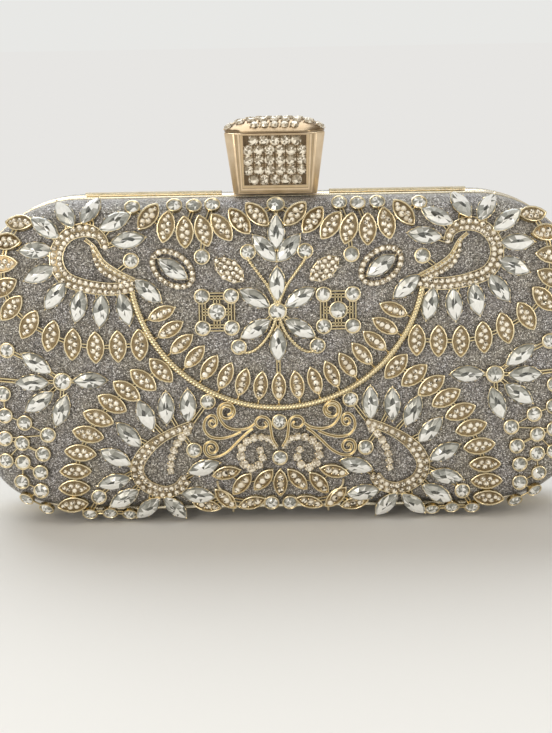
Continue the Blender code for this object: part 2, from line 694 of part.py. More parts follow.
def add_tube(bm, points, normals, radius, sides=4):
    """A closed-ended tube along the points, its sides squared up to the normals."""
    rings = []
    for i, point in enumerate(points):
        way = points[min(i + 1, len(points) - 1)] - points[max(i - 1, 0)]
        side = way.cross(normals[i]).normalized()
        up = side.cross(way).normalized()
        angles = [math.radians(90 + 360 * (step + (sides % 2 == 0) / 2) / sides) for step in range(sides)]
        rings.append([point + (side * math.cos(angle) + up * math.sin(angle)) * radius for angle in angles])
    tube = bmesh.new()
    sweep(tube, rings)
    mesh = bpy.data.meshes.new("tube")
    tube.to_mesh(mesh)
    tube.free()
    bm.from_mesh(mesh)
    bpy.data.meshes.remove(mesh)


def add_wire(bm, places, radius, lift=WIRE_LIFT):
    """A wire laid over the front through these x, z places, with more points where the front curves."""
    points = []
    normals = []
    for (last_x, last_z), (x, z) in zip(places[:1] + places, places):
        middle = seat((last_x + x) / 2, (last_z + z) / 2)[0]
        sag = (middle - (seat(last_x, last_z)[0] + seat(x, z)[0]) / 2).length
        count = max(1, math.ceil(math.sqrt(sag / WIRE_SAG)))
        for step in range(1, count + 1):
            share = step / count
            point, normal = seat(last_x + (x - last_x) * share, last_z + (z - last_z) * share)
            points.append(point + normal * lift)
            normals.append(normal)
    add_tube(bm, points, normals, radius, THIN_SIDES if radius <= SCROLL_RADIUS else THICK_SIDES)


def arc_places(centre, reach, start, end, count):
    """Places on an arc round a centre, both given in shares. Angles are in degrees from straight down, to +X."""
    places = []
    for step in range(count + 1):
        angle = math.radians(start + (end - start) * step / count)
        places.append(at(centre[0] + reach[0] * math.sin(angle), centre[1] - reach[1] * math.cos(angle)))
    return places


def mirrored(rows, side):
    """Table rows of across share, height share and turn, for this side of the case."""
    return [(at(side * across, height), side * turn) for across, height, turn in rows]


def add_casting(name, stones, wires, finish=GOLD):
    """One casting: its settings, and the wires and links that hold them together, joined into one piece."""
    bm = bmesh.new()
    for (x, z), turn, length, width in stones:
        add_stone(bm, x, z, turn, length, width)
    casting = add_piece(name, bm, "front_half", finish)
    if wires:
        bm = bmesh.new()
        for places, radius in wires:
            add_wire(bm, places, radius)
        combine(casting, add_guide(name + "_wires", bm, "front_half"), "UNION", crossing=True)
    return casting


# Places on the front, for the right side, as shares of the half width and of the height, then turn in degrees
SWAG_LEAF_SHARES = (
    (0.060, 0.952, 38),
    (0.115, 0.936, 36),
    (0.171, 0.921, 35),
    (0.228, 0.913, 15),
    (0.287, 0.910, 0),
    (0.346, 0.925, -12),
    (0.401, 0.951, -32),
)
SWAG_STONE_SHARES = ((0.200, 0.974, 0), (0.314, 0.974, 0))
SWAG_DROP_SHARES = (0.235, 0.834, 0)
TREFOIL_SHARES = ((0, 0.902, 0), (0.038, 0.856, 40))
FLOWER_PETAL_SHARES = ((0.072, 0.709, 60), (0.070, 0.614, 120))
FLOWER_UP_SHARES = (0, 0.751)
FLOWER_DOWN_SHARES = (0, 0.567)
FLOWER_HEART_SHARES = (0, 0.667)
FLOWER_TIP_SHARES = (0.125, 0.560)
FEELER_SHARES = ((0.005, 0.700), (0.085, 0.814))
TENDRIL_SHARES = ((0.008, 0.640), (0.032, 0.594), (0.068, 0.556), (0.122, 0.548))
WING_LEAF_SHARES = (0.150, 0.794, 52)
CROSS_SHARES = (0.195, 0.668)
CROSS_REACH_SHARES = (0.046, 0.0486)
EYE_SHARES = (0.328, 0.800, 55)
EYE_REACH = (0.0066, 0.0046)
EYE_POINTS = 10
FAN_CENTRE_SHARES = (0, 0.814)
FAN_REACH_SHARES = (0.465, 0.443)
FAN_LEAF_REACH_SHARES = (0.394, 0.375)
FAN_LEAF_STEP = 8.4
FAN_LEAVES_A_SIDE = 8
FAN_ROPE_END = 74
FAN_ROPE_STEPS = 17
UPPER_PAISLEY_SHARES = (
    (0.538, 0.868),
    (0.556, 0.900),
    (0.610, 0.914),
    (0.668, 0.892),
    (0.692, 0.842),
    (0.676, 0.792),
    (0.630, 0.763),
    (0.574, 0.749),
    (0.510, 0.744),
    (0.458, 0.753),
)
UPPER_PAISLEY_INNER_SHARES = ((0.592, 0.880), (0.563, 0.838), (0.520, 0.796), (0.466, 0.760))
UPPER_RAY_SHARES = (
    (0.466, 0.885, -82),
    (0.506, 0.937, -62),
    (0.583, 0.968, -22),
    (0.662, 0.960, 26),
    (0.724, 0.926, 53),
    (0.757, 0.862, 90),
    (0.745, 0.792, 113),
    (0.700, 0.728, 143),
    (0.628, 0.695, 167),
    (0.558, 0.680, 174),
    (0.482, 0.683, 193),
    (0.408, 0.736, 229),
)
UPPER_STONE_SHARES = (0.468, 0.824, 0)
NECKLACE_SHARES = (
    (0.806, 0.925, 82),
    (0.850, 0.869, 82),
    (0.868, 0.805, 100),
    (0.866, 0.741, 120),
    (0.840, 0.682, 138),
    (0.786, 0.636, 150),
    (0.720, 0.602, 165),
    (0.652, 0.577, 176),
    (0.580, 0.566, 180),
    (0.509, 0.568, 180),
    (0.440, 0.572, 180),
)
SIDE_FLOWER_HEART_SHARES = (0.690, 0.462)
SIDE_PETAL_SHARES = ((0.602, 0.464, 90), (0.783, 0.460, 90), (0.770, 0.514, 55), (0.766, 0.402, 125), (0.698, 0.372, 160))
SIDE_STONE_SHARES = (0.868, 0.566)
BAND_SHARES = (
    (0.374, 0.492, 42),
    (0.432, 0.463, 50),
    (0.486, 0.430, 54),
    (0.534, 0.391, 60),
    (0.580, 0.347, 69),
    (0.615, 0.296, 75),
    (0.642, 0.238, 82),
    (0.661, 0.180, 90),
    (0.668, 0.124, 90),
    (0.676, 0.070, 98),
)
LOWER_PAISLEY_SHARES = (
    (0.282, 0.312),
    (0.359, 0.289),
    (0.426, 0.246),
    (0.459, 0.196),
    (0.443, 0.148),
    (0.381, 0.122),
    (0.326, 0.139),
    (0.306, 0.168),
)
LOWER_PAISLEY_INNER_SHARES = ((0.292, 0.300), (0.326, 0.256), (0.348, 0.207), (0.334, 0.160))
LOWER_RAY_SHARES = (
    (0.292, 0.380, 0),
    (0.362, 0.374, 0),
    (0.428, 0.352, 24),
    (0.484, 0.291, 43),
    (0.530, 0.221, 63),
    (0.538, 0.142, 103),
    (0.508, 0.086, 120),
    (0.432, 0.056, 138),
    (0.344, 0.056, 215),
    (0.272, 0.096, 265),
    (0.246, 0.184, 288),
)
LOWER_STONE_SHARES = ((0.228, 0.392, 0), (0.270, 0.244, 0))
BORDER_STONE_SHARES = ((0.590, 0.092, 0), (0.624, 0.040, 0), (0.558, 0.040, 0))
CORNER_STONE_SHARES = (
    (0.886, 0.424, 0),
    (0.884, 0.350, 0),
    (0.812, 0.320, 0),
    (0.742, 0.290, 0),
    (0.886, 0.270, 0),
    (0.826, 0.226, 0),
    (0.764, 0.220, 0),
    (0.828, 0.142, 0),
    (0.772, 0.130, 0),
    (0.760, 0.060, 0),
)
SCROLL_SPIRAL_SHARES = (((0.170, 0.366), 0.025), ((0.214, 0.328), 0.016), ((0.222, 0.246), 0.019))
SCROLL_POINTS = 8
SCROLL_SWEEP_SHARES = (
    ((0.192, 0.372), (0.180, 0.326), (0.140, 0.308), (0.096, 0.312), (0.056, 0.330), (0, 0.325)),
    ((0.228, 0.332), (0.222, 0.294), (0.180, 0.280), (0.130, 0.290), (0.096, 0.312)),
    ((0.238, 0.250), (0.214, 0.226), (0.180, 0.236), (0.140, 0.270), (0.096, 0.312)),
)
SCROLL_STONE_SHARES = ((0, 0.325), (0, 0.212))
HORSESHOE_SHARES = (
    (0.042, 0.258),
    (0.058, 0.272),
    (0.084, 0.277),
    (0.112, 0.262),
    (0.124, 0.230),
    (0.114, 0.200),
    (0.088, 0.186),
    (0.066, 0.200),
    (0.062, 0.226),
)
FAN_FOOT_SHARES = ((0.057, 0.140, -40), (0.125, 0.132, -41), (0.174, 0.168, -80))
FOOT_BORDER_SHARES = ((0.100, 0.072, -72), (0.186, 0.074, 43), (0.248, 0.048, 75))
FOOT_MIDDLE_SHARES = (0, 0.126)


def navette(place, turn):
    return place, turn, NAVETTE_LENGTH, NAVETTE_WIDTH


def pave_leaf(place, turn):
    return place, turn, PAVE_LEAF_LENGTH, PAVE_LEAF_WIDTH


def round_stone(place, size=SMALL_STONE):
    return place, 0, size, size


def add_swag():
    """The swag along the top: leaves, round stones over them, and the trefoil that hangs in the middle."""
    stones = [round_stone(at(0, 0.971), LARGE_STONE), navette(at(*TREFOIL_SHARES[0][:2]), 0)]
    wires = []
    for side in (-1, 1):
        leaves = mirrored(SWAG_LEAF_SHARES, side)
        tops = mirrored(SWAG_STONE_SHARES, side)
        drop = mirrored([SWAG_DROP_SHARES], side)[0][0]
        stones += [(place, turn, FAN_LEAF_LENGTH, FAN_LEAF_WIDTH) for place, turn in leaves]
        stones += [round_stone(place) for place, turn in tops]
        stones.append(round_stone(drop))
        stones += [navette(place, turn) for place, turn in mirrored(TREFOIL_SHARES[1:], side)]
        wires.append(([at(0, 0.971)] + [place for place, turn in leaves], LINK_RADIUS))
        wires.append(([leaves[3][0], tops[0][0]], LINK_RADIUS))
        wires.append(([leaves[5][0], tops[1][0]], LINK_RADIUS))
        wires.append(([leaves[3][0], drop], LINK_RADIUS))
        trefoil = mirrored(TREFOIL_SHARES, side)
        wires.append(([at(0, 0.971), trefoil[0][0], trefoil[1][0]], LINK_RADIUS))
    add_casting("top_swag", stones, wires)


def add_butterfly():
    """The flower in the middle, with its rope feelers and tendrils."""
    heart = at(*FLOWER_HEART_SHARES)
    stones = [
        round_stone(heart, LARGE_STONE),
        navette(at(*FLOWER_UP_SHARES), 0),
        navette(at(*FLOWER_DOWN_SHARES), 0),
    ]
    wires = [([at(*FLOWER_UP_SHARES), heart, at(*FLOWER_DOWN_SHARES)], LINK_RADIUS)]
    for side in (-1, 1):
        tip = at(side * FLOWER_TIP_SHARES[0], FLOWER_TIP_SHARES[1])
        petals = mirrored(FLOWER_PETAL_SHARES, side)
        stones += [navette(place, turn) for place, turn in petals]
        stones.append(round_stone(tip))
        wires += [([heart, place], LINK_RADIUS) for place, turn in petals]
        wires.append(([heart] + [at(side * x, z) for x, z in FEELER_SHARES], ROPE_RADIUS / 2))
        wires.append(([heart] + [at(side * x, z) for x, z in TENDRIL_SHARES] + [tip], ROPE_RADIUS / 2))
    add_casting("centre_butterfly", stones, wires)


def add_fan():
    """The rope arc under the middle, with its row of pave leaves pointing at the centre."""
    rope = arc_places(FAN_CENTRE_SHARES, FAN_REACH_SHARES, -FAN_ROPE_END, FAN_ROPE_END, FAN_ROPE_STEPS)
    stones = []
    wires = [(rope, ROPE_RADIUS)]
    for step in range(-FAN_LEAVES_A_SIDE, FAN_LEAVES_A_SIDE + 1):
        turn = FAN_LEAF_STEP * step
        reaches = (FAN_LEAF_REACH_SHARES, FAN_REACH_SHARES)
        inner, outer = [arc_places(FAN_CENTRE_SHARES, reach, turn, turn, 1)[0] for reach in reaches]
        stones.append((inner, -turn, FAN_LEAF_LENGTH, FAN_LEAF_WIDTH))
        wires.append(([inner, outer], LINK_RADIUS))
    add_casting("rope_fan", stones, wires)


def add_side_motifs(word, side):
    """The castings that each side of the front repeats."""
    across, height, turn = WING_LEAF_SHARES
    add_casting("wing_leaf_" + word, [(at(side * across, height), side * turn, WING_LEAF_LENGTH, WING_LEAF_WIDTH)], [])

    across, height = CROSS_SHARES
    middle = at(side * across, height)
    reach_x, reach_z = CROSS_REACH_SHARES
    corners = [
        at(side * across + i * reach_x, height + j * reach_z) for i, j in ((1, 1), (1, -1), (-1, -1), (-1, 1))
    ]
    stones = [round_stone(middle, LARGE_STONE)] + [round_stone(corner) for corner in corners]
    wires = links(corners + corners[:1]) + links([corners[0], middle, corners[2]])
    add_casting("stone_cross_" + word, stones, wires)

    place = at(side * EYE_SHARES[0], EYE_SHARES[1])
    lean = math.radians(side * EYE_SHARES[2])
    along = Vector((math.sin(lean), math.cos(lean)))
    beside = Vector((math.cos(lean), -math.sin(lean)))
    reach_along, reach_beside = [STONE_SCALE * reach for reach in EYE_REACH]
    halo = []
    for step in range(EYE_POINTS + 1):
        angle = math.radians(360 * step / EYE_POINTS)
        point = Vector(place) + along * reach_along * math.cos(angle) + beside * reach_beside * math.sin(angle)
        halo.append(tuple(point))
    add_casting(
        "pave_eye_" + word,
        [navette(place, side * EYE_SHARES[2])],
        [(halo, PAVE_BAND_RADIUS), ([halo[0], place, halo[EYE_POINTS // 2]], LINK_RADIUS)],
    )

    rays = mirrored(UPPER_RAY_SHARES, side)
    heart = mirrored([UPPER_STONE_SHARES], side)[0][0]
    band = [at(side * x, z) for x, z in UPPER_PAISLEY_SHARES]
    inner = [at(side * x, z) for x, z in UPPER_PAISLEY_INNER_SHARES]
    stones = [navette(place, turn) for place, turn in rays] + [round_stone(heart)]
    wires = [(band, PAVE_BAND_RADIUS), (inner, PAVE_BAND_RADIUS / 2)]
    wires += [([place, nearest(place, band)], LINK_RADIUS) for place, turn in rays]
    wires.append(([heart, inner[2]], LINK_RADIUS))
    add_casting("upper_paisley_" + word, stones, wires)

    leaves = mirrored(NECKLACE_SHARES, side)
    add_casting(
        "leaf_necklace_" + word,
        [pave_leaf(place, turn) for place, turn in leaves],
        [([place for place, turn in leaves], LINK_RADIUS)],
    )

    heart = at(side * SIDE_FLOWER_HEART_SHARES[0], SIDE_FLOWER_HEART_SHARES[1])
    petals = mirrored(SIDE_PETAL_SHARES, side)
    edge = at(side * SIDE_STONE_SHARES[0], SIDE_STONE_SHARES[1])
    stones = [round_stone(heart, LARGE_STONE), round_stone(edge)] + [navette(place, turn) for place, turn in petals]
    wires = [([heart, place], LINK_RADIUS) for place, turn in petals] + [([petals[2][0], edge], LINK_RADIUS)]
    add_casting("side_flower_" + word, stones, wires)

    leaves = mirrored(BAND_SHARES, side)
    add_casting(
        "leaf_band_" + word,
        [pave_leaf(place, turn) for place, turn in leaves],
        [([place for place, turn in leaves], LINK_RADIUS)],
    )

    rays = mirrored(LOWER_RAY_SHARES, side)
    extras = mirrored(LOWER_STONE_SHARES, side)
    border = mirrored(BORDER_STONE_SHARES, side)
    band = [at(side * x, z) for x, z in LOWER_PAISLEY_SHARES]
    inner = [at(side * x, z) for x, z in LOWER_PAISLEY_INNER_SHARES]
    stones = [navette(place, turn) for place, turn in rays]
    stones += [round_stone(place) for place, turn in extras + border]
    wires = [(band, PAVE_BAND_RADIUS), (inner, PAVE_BAND_RADIUS)]
    wires += [([place, nearest(place, band)], LINK_RADIUS) for place, turn in rays + extras]
    wires.append(([rays[5][0]] + [place for place, turn in border], LINK_RADIUS))
    add_casting("lower_paisley_" + word, stones, wires)

    places = [place for place, turn in mirrored(CORNER_STONE_SHARES, side)]
    add_casting("corner_stones_" + word, [round_stone(place) for place in places], links(places))

    shoe = [at(side * x, z) for x, z in HORSESHOE_SHARES]
    add_casting("pave_horseshoe_" + word, [round_stone(shoe[-1], SMALL_STONE / 2)], [(shoe, PAVE_BAND_RADIUS)])


def links(places):
    """A short link between each place and the next."""
    return [([start, end], LINK_RADIUS) for start, end in zip(places, places[1:])]


def nearest(place, band):
    return min(band, key=lambda point: math.dist(point, place))


def add_scrollwork():
    """The scrolled wires under the rope arc, round two stones."""
    stones = [round_stone(at(x, z)) for x, z in SCROLL_STONE_SHARES]
    wires = [([at(*SCROLL_STONE_SHARES[0]), at(*SCROLL_STONE_SHARES[1])], LINK_RADIUS)]
    for side in (-1, 1):
        for (across, height), reach in SCROLL_SPIRAL_SHARES:
            rounded = arc_places((side * across, height), (reach, reach), 0, 360, SCROLL_POINTS)
            wires.append((rounded, SCROLL_RADIUS))
        for sweep in SCROLL_SWEEP_SHARES:
            wires.append(([at(side * x, z) for x, z in sweep], SCROLL_RADIUS))
    add_casting("scrollwork", stones, wires)


def add_foot_border():
    """The small fan and the border of leaves along the foot."""
    middle = at(*FOOT_MIDDLE_SHARES)
    stones = [pave_leaf(middle, 0)]
    wires = []
    for side in (-1, 1):
        fan = mirrored(FAN_FOOT_SHARES, side)
        border = mirrored(FOOT_BORDER_SHARES, side)
        stones += [pave_leaf(place, turn) for place, turn in fan + border]
        wires.append(([middle] + [place for place, turn in fan], LINK_RADIUS))
        wires.append(([middle] + [place for place, turn in border], LINK_RADIUS))
    add_casting("foot_border", stones, wires)


def build():
    clear_scene()
    add_joint_empty("back_half", Vector((0, 0, 0)))
    add_joint_empty("front_half", HINGE, "back_half")
    add_joint_empty("knob_latch", PIVOT, "back_half")
    bpy.context.view_layer.update()
    frames = []
    for half, side in (("back_half", 1), ("front_half", -1)):
        word = half.split("_")[0]
        shell_inset = COVER_INSET + COVER_WALL + SEAM
        lining_inset = shell_inset + SHELL_WALL + SEAM
        add_layer(word + "_fabric_cover", half, side, COVER_INSET, COVER_WALL, GLITTER, EDGE_STEPS)
        add_layer(word + "_shell", half, side, shell_inset, SHELL_WALL, SHELL_METAL, HIDDEN_STEPS)
        add_layer(word + "_lining", half, side, lining_inset, LINING_WALL, LINING_CLOTH, HIDDEN_STEPS)
        frames.append(add_frame(word + "_frame", half, side))
    cut_hinge_notches(frames)
    add_hinges()
    add_rails()
    add_knob_body()
    add_knob_panel()
    add_knob_dome()
    add_rivets(add_bracket(), frames[0])
    add_lever()
    add_pivot_and_spring()
    add_catch()
    add_swag()
    add_butterfly()
    add_fan()
    for word, side in (("left", -1), ("right", 1)):
        add_side_motifs(word, side)
    add_scrollwork()
    add_foot_border()


build()
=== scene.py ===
"""Looks of a jeweled evening clutch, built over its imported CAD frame: glitter cloth halves in gold frames, a
stone-set knob, and castings of leaves, flowers, paisleys, rope and scrolls with cut stones. Metres throughout."""

import math
import random

import bmesh
import bpy
from bpy.props import FloatProperty, FloatVectorProperty, PointerProperty
from mathutils import Matrix, Vector


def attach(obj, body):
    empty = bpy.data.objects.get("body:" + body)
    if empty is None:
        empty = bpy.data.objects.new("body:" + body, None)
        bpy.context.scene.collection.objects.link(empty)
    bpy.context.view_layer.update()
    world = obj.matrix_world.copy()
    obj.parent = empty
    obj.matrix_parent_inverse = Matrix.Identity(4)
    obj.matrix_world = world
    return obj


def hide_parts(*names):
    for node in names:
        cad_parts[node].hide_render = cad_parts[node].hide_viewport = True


bl_info = {
    "name": "Jeweled evening clutch",
    "version": (1, 0, 0),
    "blender": (4, 5, 0),
    "location": "3D View > Sidebar > Clutch",
    "description": "Builds the looks of a stone-set box clutch over its CAD frame",
    "category": "Object",
}

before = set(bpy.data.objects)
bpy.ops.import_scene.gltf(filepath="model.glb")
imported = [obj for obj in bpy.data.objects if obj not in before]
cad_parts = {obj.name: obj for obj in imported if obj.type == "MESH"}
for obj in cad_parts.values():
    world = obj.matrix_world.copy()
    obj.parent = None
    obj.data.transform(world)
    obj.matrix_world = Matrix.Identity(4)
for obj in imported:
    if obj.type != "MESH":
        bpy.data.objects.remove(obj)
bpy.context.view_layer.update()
random_numbers = random.Random(11)

# Case, as in the CAD
HALF_WIDTH = 0.100
HEIGHT = 0.105
HALF_HEIGHT = HEIGHT / 2
CORNER_RADIUS = 0.036
HALF_DEPTH = 0.022
EDGE_RADIUS = 0.009
CROWN = 0.0015
CROWN_INSET = 0.024
COVER_INSET = 0.0004
PARTING = 0.0013
RIM_DEPTH = 0.00365
HINGE_HALF_SPACING = 0.042
NOTCH_SIZE = (0.0192, 0.0038, 0.02)
EDGE_CENTRE_INSET = COVER_INSET + EDGE_RADIUS
EDGE_CENTRE_DEPTH = HALF_DEPTH - CROWN - EDGE_RADIUS
# Layers of a half: piece, inset, wall, finish, slot and the end of the node's name
LAYERS = (
    ("glitter_cover", COVER_INSET, 0.0007, "glitter_cloth", "glitter_fabric", "fabric_cover"),
    ("board_shell", 0.0014, 0.0012, "moulded_board", "moulded_shell", "shell"),
    ("satin_lining", 0.0029, 0.0006, "lining_satin", "satin_lining", "lining"),
)
# Frame: its section, as inset, depth and share of the corner radius. A lip stands off its back along the outer edge
FRAME_WIDTH = 0.0038
FRAME_FACE = 0.00015
FRAME_BACK = FRAME_FACE + 0.0032
FRAME_LIP = 0.0014
FRAME_ROUND = 0.0007
FRAME_SECTION = (
    (0.0015, FRAME_FACE, 1), (0, FRAME_FACE + 0.0013, 1), (0, FRAME_BACK + 0.0018, 0.5),
    (FRAME_LIP, FRAME_BACK + 0.0015, 0.5), (FRAME_LIP, FRAME_BACK, 0),
    (FRAME_WIDTH, FRAME_BACK, 0), (FRAME_WIDTH, FRAME_FACE, 0),
)
# The front half's foot rises from its frame: how far, below which height, and between which depths
FOOT_SLOPE_RISE = 0.0046
FOOT_SLOPE_HEIGHT = 0.014
FOOT_SLOPE_DEPTHS = (0.0022, 0.013)

CORNER_STEPS = 18
EDGE_STEPS = 8
CROWN_STEPS = 6
ROUNDING_STEPS = 4
CURVE_STEPS = 12
WELD = 1e-6
SMOOTH_ANGLE = 40

# Settings and stones
SEAT_GAP = 0.0004
STEEPEST_SEAT = math.radians(45)
WALL_HEIGHT = 0.0013
RIM_WIDTH = 0.00048
BED_DEPTH = 0.0005
BED_LIFT = WALL_HEIGHT - BED_DEPTH
GIRDLE_LIFT = 0.0009
STONE_GIRDLE = 0.0003
STONE_PEAK = 0.0001
LEAF_DESIGN_LENGTH = 0.0098
LEAF_FULLNESS = 0.78
LEAF_STONE_SWELL = 1.42
CUP_SHARES = (0.99, 0.98)
NAVETTE_SHARES = (0.95, 0.93)
NAVETTE_FULLNESS = 0.85
NAVETTE_STEPS = ((0.82, 0.86, 0.0007), (0.42, 0.52, 0.0005))
ROUND_STEPS = ((0.60, 0.60, 0.0007),)
STONE_MARGIN = 0.0005
STONE_ROW_SPACING = 0.92
# Painted highlight added to the facets of the stones in a row
STONE_ROW_PAINTED_HIGHLIGHT = 0.14
WING_SHRINK = (0.92, 0.94)
WING_PITCH = 0.00182
STONE_ROW_STEP = 0.0002
# Painted shade on a setting's wall and on its sunk bed
WALL_PAINTED_SHADE = 0.2
BED_PAINTED_SHADE = 0.70

# Radii of the beads that hold the stones
FILLING_BEAD = 0.00023
LEAF_TIP_BEAD = 0.00036
WING_BEAD = 0.00022
BAND_BEAD = 0.00021
SIDE_BEAD = 0.00024
NAVETTE_PRONG = 0.00045
PANEL_BEAD = 0.00022
DOME_BEAD = 0.00026
FAN_TIP_BEAD = 0.00072

# Wires, ropes and links: their sizes, and how far over the fabric their middles or feet lie
LINK_RADIUS = 0.0003
LINK_HALF_SPACING = 0.00048
LINK_LIFT = 0.0005
LINK_RING_SPACING = 0.0015
WIRE_RING_SPACING = 0.0007
ROPE_RING_SPACING = 0.00026
ROPE_RINGS_A_TURN = 4
BAND_RING_SPACING = 0.0006
SCROLL_RING_SPACING = 0.0003
FEELER_RADIUS = 0.0006
FEELER_LIFT = 0.0010
ROPE_LIFT = 0.0012
FAN_LINK_RADIUS = 0.00038
FAN_LINK_LIFT = 0.0008
PLAIN_WIRE_RADIUS = 0.0004
FOOT_WIRE_LIFT = 0.0009
HORSESHOE_WIRE_LIFT = 0.0006
SCROLL_LIFT = 0.0013
PAISLEY_LINE_WIDTH = 0.0013
PAISLEY_LINE_LIFT = 0.0012
END_LINK_RADIUS = 0.00035
GROOVED_HEIGHT = 0.0007

# Knob, its heights and its plan as in the CAD
KNOB_BASE = 0.1056
KNOB_TOP = 0.1252
KNOB_CENTRE = 0.00005
KNOB_BASE_SIZE = (0.0268, 0.0165)
KNOB_TOP_SIZE = (0.0322, 0.0185)
KNOB_BASE_CHAMFER = (0.0015, 0.0026)
KNOB_TOP_CHAMFER = (0.0027, 0.0034)
KNOB_BEVEL = 0.0004
KNOB_SMOOTH_ANGLE = 30
# The recess: half width at its foot and at its head, then the heights of the two over the knob's base
KNOB_RECESS = (0.0099, 0.0101, 0.0030, 0.0188)
# Mouldings between the front's edge and the recess: share of the way, depth, darkness (painted shade in the moulding)
KNOB_MOULDINGS = (
    (0.10, 0, 0), (0.14, -0.00028, 0.7), (0.34, -0.00028, 0.5), (0.38, 0, 0.6), (0.62, 0, 0),
    (0.66, -0.00030, 0.7), (0.94, -0.00030, 0.35), (0.97, -0.00012, 0.2), (1.0, -0.00012, 0), (1.001, -0.0014, 0.8),
)
PANEL_ROWS = (5, 6, 6, 6, 5)
PANEL_PITCH = (0.00345, 0.00315)
PANEL_STONE_RADIUS = 0.00168
PANEL_STONE_SINK = 0.0010
KNOB_STONE_FLATNESS = 0.9
PANEL_PLATE_SINK = 0.0011
PANEL_PLATE_WALL = 0.0003
PANEL_BEAD_REACH = 0.00185
PANEL_BEAD_LIFT = 0.0004
# Rows of the dome: place from front to back, stones, reach to each side
DOME_ROWS = ((-0.70, 5, 0.41), (-0.34, 9, 0.90), (0.02, 10, 0.93), (0.38, 9, 0.90), (0.76, 8, 0.80))
DOME_STONE_RADIUS = 0.00145
# Painted highlight added to the facets of the dome's stones
DOME_PAINTED_HIGHLIGHT = 0.12
DOME_BEAD_PLACE = (0.0014, 0.0010)
DOME_FOOT = KNOB_TOP + 0.0001
DOME_RIM = KNOB_TOP + 0.0006
DOME_RISE = 0.0034
DOME_SLOPE_STEP = 0.02

# Finishes: the painted shade that darkens and warms the gold in its crevices, and the lightness of a stone's facets by
# their painted highlights and shade
GOLD_CREVICE_SHADES = (
    (0.00, (1, 1, 1)), (0.30, (0.86, 0.84, 0.76)), (0.60, (0.53, 0.51, 0.48)), (1.00, (0.24, 0.19, 0.14)),
)
CRYSTAL_LIGHTS = ((0.05, 0.05), (0.30, 0.26), (0.55, 0.52), (0.80, 0.86), (1.00, 1.00))

# Stage: the floor's plain colour starts and ends at these distances, and the sky's colours go by height
FLOOR_HALF_SIZE = 12
FLOOR_FADE = (0.22, 0.60)
SKY = (
    (0.24, (0.807, 0.807, 0.787)), (0.36, (0.38, 0.33, 0.26)), (0.60, (0.38, 0.33, 0.26)), (0.72, (0.58, 0.58, 0.58)),
)
SUN_PLACE = (-0.25, 0.80, 1.0)
SUN_COLOUR = (0.94, 0.98, 1.0)
SUN_ENERGY = 1.85
SUN_SPREAD = 50
LIGHT_COLOUR = (1.0, 0.93, 0.81)
LIGHT_TARGET = (0, 0, 0.05)
LIGHTS = (
    ("front softbox", (-0.55, -1.0, 0.45), (0.6, 0.6), 4.4),
    ("side strip", (0.9, -0.6, 0.35), (0.15, 0.8), 1.6),
)
CAMERA_LENS = 78.6
CAMERA_TARGET = (-0.0008, -0.002, 0.048)
CAMERA_DISTANCE = 0.530
CAMERA_RISE = 12
CAMERA_ROLL = -1

# Places of the ornament, for the right side: shares of the half width and of the height, then turn
SWAG_TOP_SHARES = (0, 0.976)
SWAG_LEAF_SHARES = (
    (0.060, 0.952, 38), (0.115, 0.936, 36), (0.171, 0.921, 35), (0.228, 0.913, 15),
    (0.287, 0.910, 0), (0.346, 0.925, -12), (0.401, 0.951, -32),
)
SWAG_STONE_SHARES = ((0.200, 0.978), (0.258, 0.976), (0.320, 0.978), (0.452, 0.975), (0.235, 0.834))
TREFOIL_SHARES = ((0, 0.905, 0), (0.038, 0.856, 40))
TREFOIL_STONE_SHARES = (0.090, 0.846)
FLOWER_PETAL_SHARES = ((0.072, 0.709, 60), (0.070, 0.614, 120))
FLOWER_MIDDLE_SHARES = ((0, 0.667), (0, 0.751), (0, 0.567))
FLOWER_TIP_SHARES = (0.125, 0.560)
FEELER_SHARES = ((0.004, 0.69), (0.030, 0.745), (0.060, 0.785), (0.085, 0.817), (0.092, 0.835))
TENDRIL_SHARES = ((0.006, 0.645), (0.026, 0.600), (0.058, 0.562), (0.092, 0.543), (0.125, 0.548))
WING_LEAF_SHARES = (0.150, 0.794, 52)
CROSS_SHARES = (0.192, 0.668)
CROSS_REACH_SHARES = (0.0460, 0.0486)
EYE_SHARES = (0.328, 0.800, 55)
EYE_RING = (0.0070, 0.0046)
EYE_WIDTHS = (0.0019, 0.0019)
EYE_PITCH = 0.00195
FAN_CENTRE_SHARES = (0, 0.814)
FAN_REACH_SHARES = (0.465, 0.443)
FAN_INNER_REACH_SHARES = (0.447, 0.426)
FAN_LEAF_REACH_SHARES = (0.398, 0.379)
FAN_LEAF_STEP = 8.4
FAN_LEAVES_A_SIDE = 8
FAN_ROPE_END = 80
UPPER_PAISLEY_SHARES = (
    (0.538, 0.868), (0.548, 0.896), (0.575, 0.914), (0.614, 0.918), (0.652, 0.906), (0.680, 0.878),
    (0.692, 0.842), (0.686, 0.806), (0.664, 0.778), (0.630, 0.762), (0.574, 0.749), (0.510, 0.744), (0.452, 0.753),
)
UPPER_INNER_SHARES = ((0.578, 0.872), (0.566, 0.838), (0.548, 0.810), (0.512, 0.787), (0.468, 0.768))
UPPER_LINE_SHARES = ((0.600, 0.893), (0.572, 0.868), (0.545, 0.826), (0.500, 0.796), (0.448, 0.772))
UPPER_RAY_SHARES = (
    (0.466, 0.888, -82), (0.506, 0.940, -62), (0.583, 0.968, -22), (0.662, 0.960, 26),
    (0.724, 0.926, 53), (0.757, 0.862, 90), (0.745, 0.792, 113), (0.700, 0.728, 143),
    (0.628, 0.695, 167), (0.558, 0.680, 174), (0.482, 0.683, 193), (0.408, 0.736, 229),
)
UPPER_STONE_SHARES = (0.458, 0.826)
UPPER_WIDTHS = (0.0024, 0.0036, 0.0040, 0.0040, 0.0038, 0.0034)
UPPER_PITCH = 0.00194
UPPER_INNER_WIDTHS = (0.0016, 0.0028, 0.0040, 0.0036, 0.0028)
UPPER_INNER_PITCH = 0.00165
PAISLEY_EDGE = 0.0002
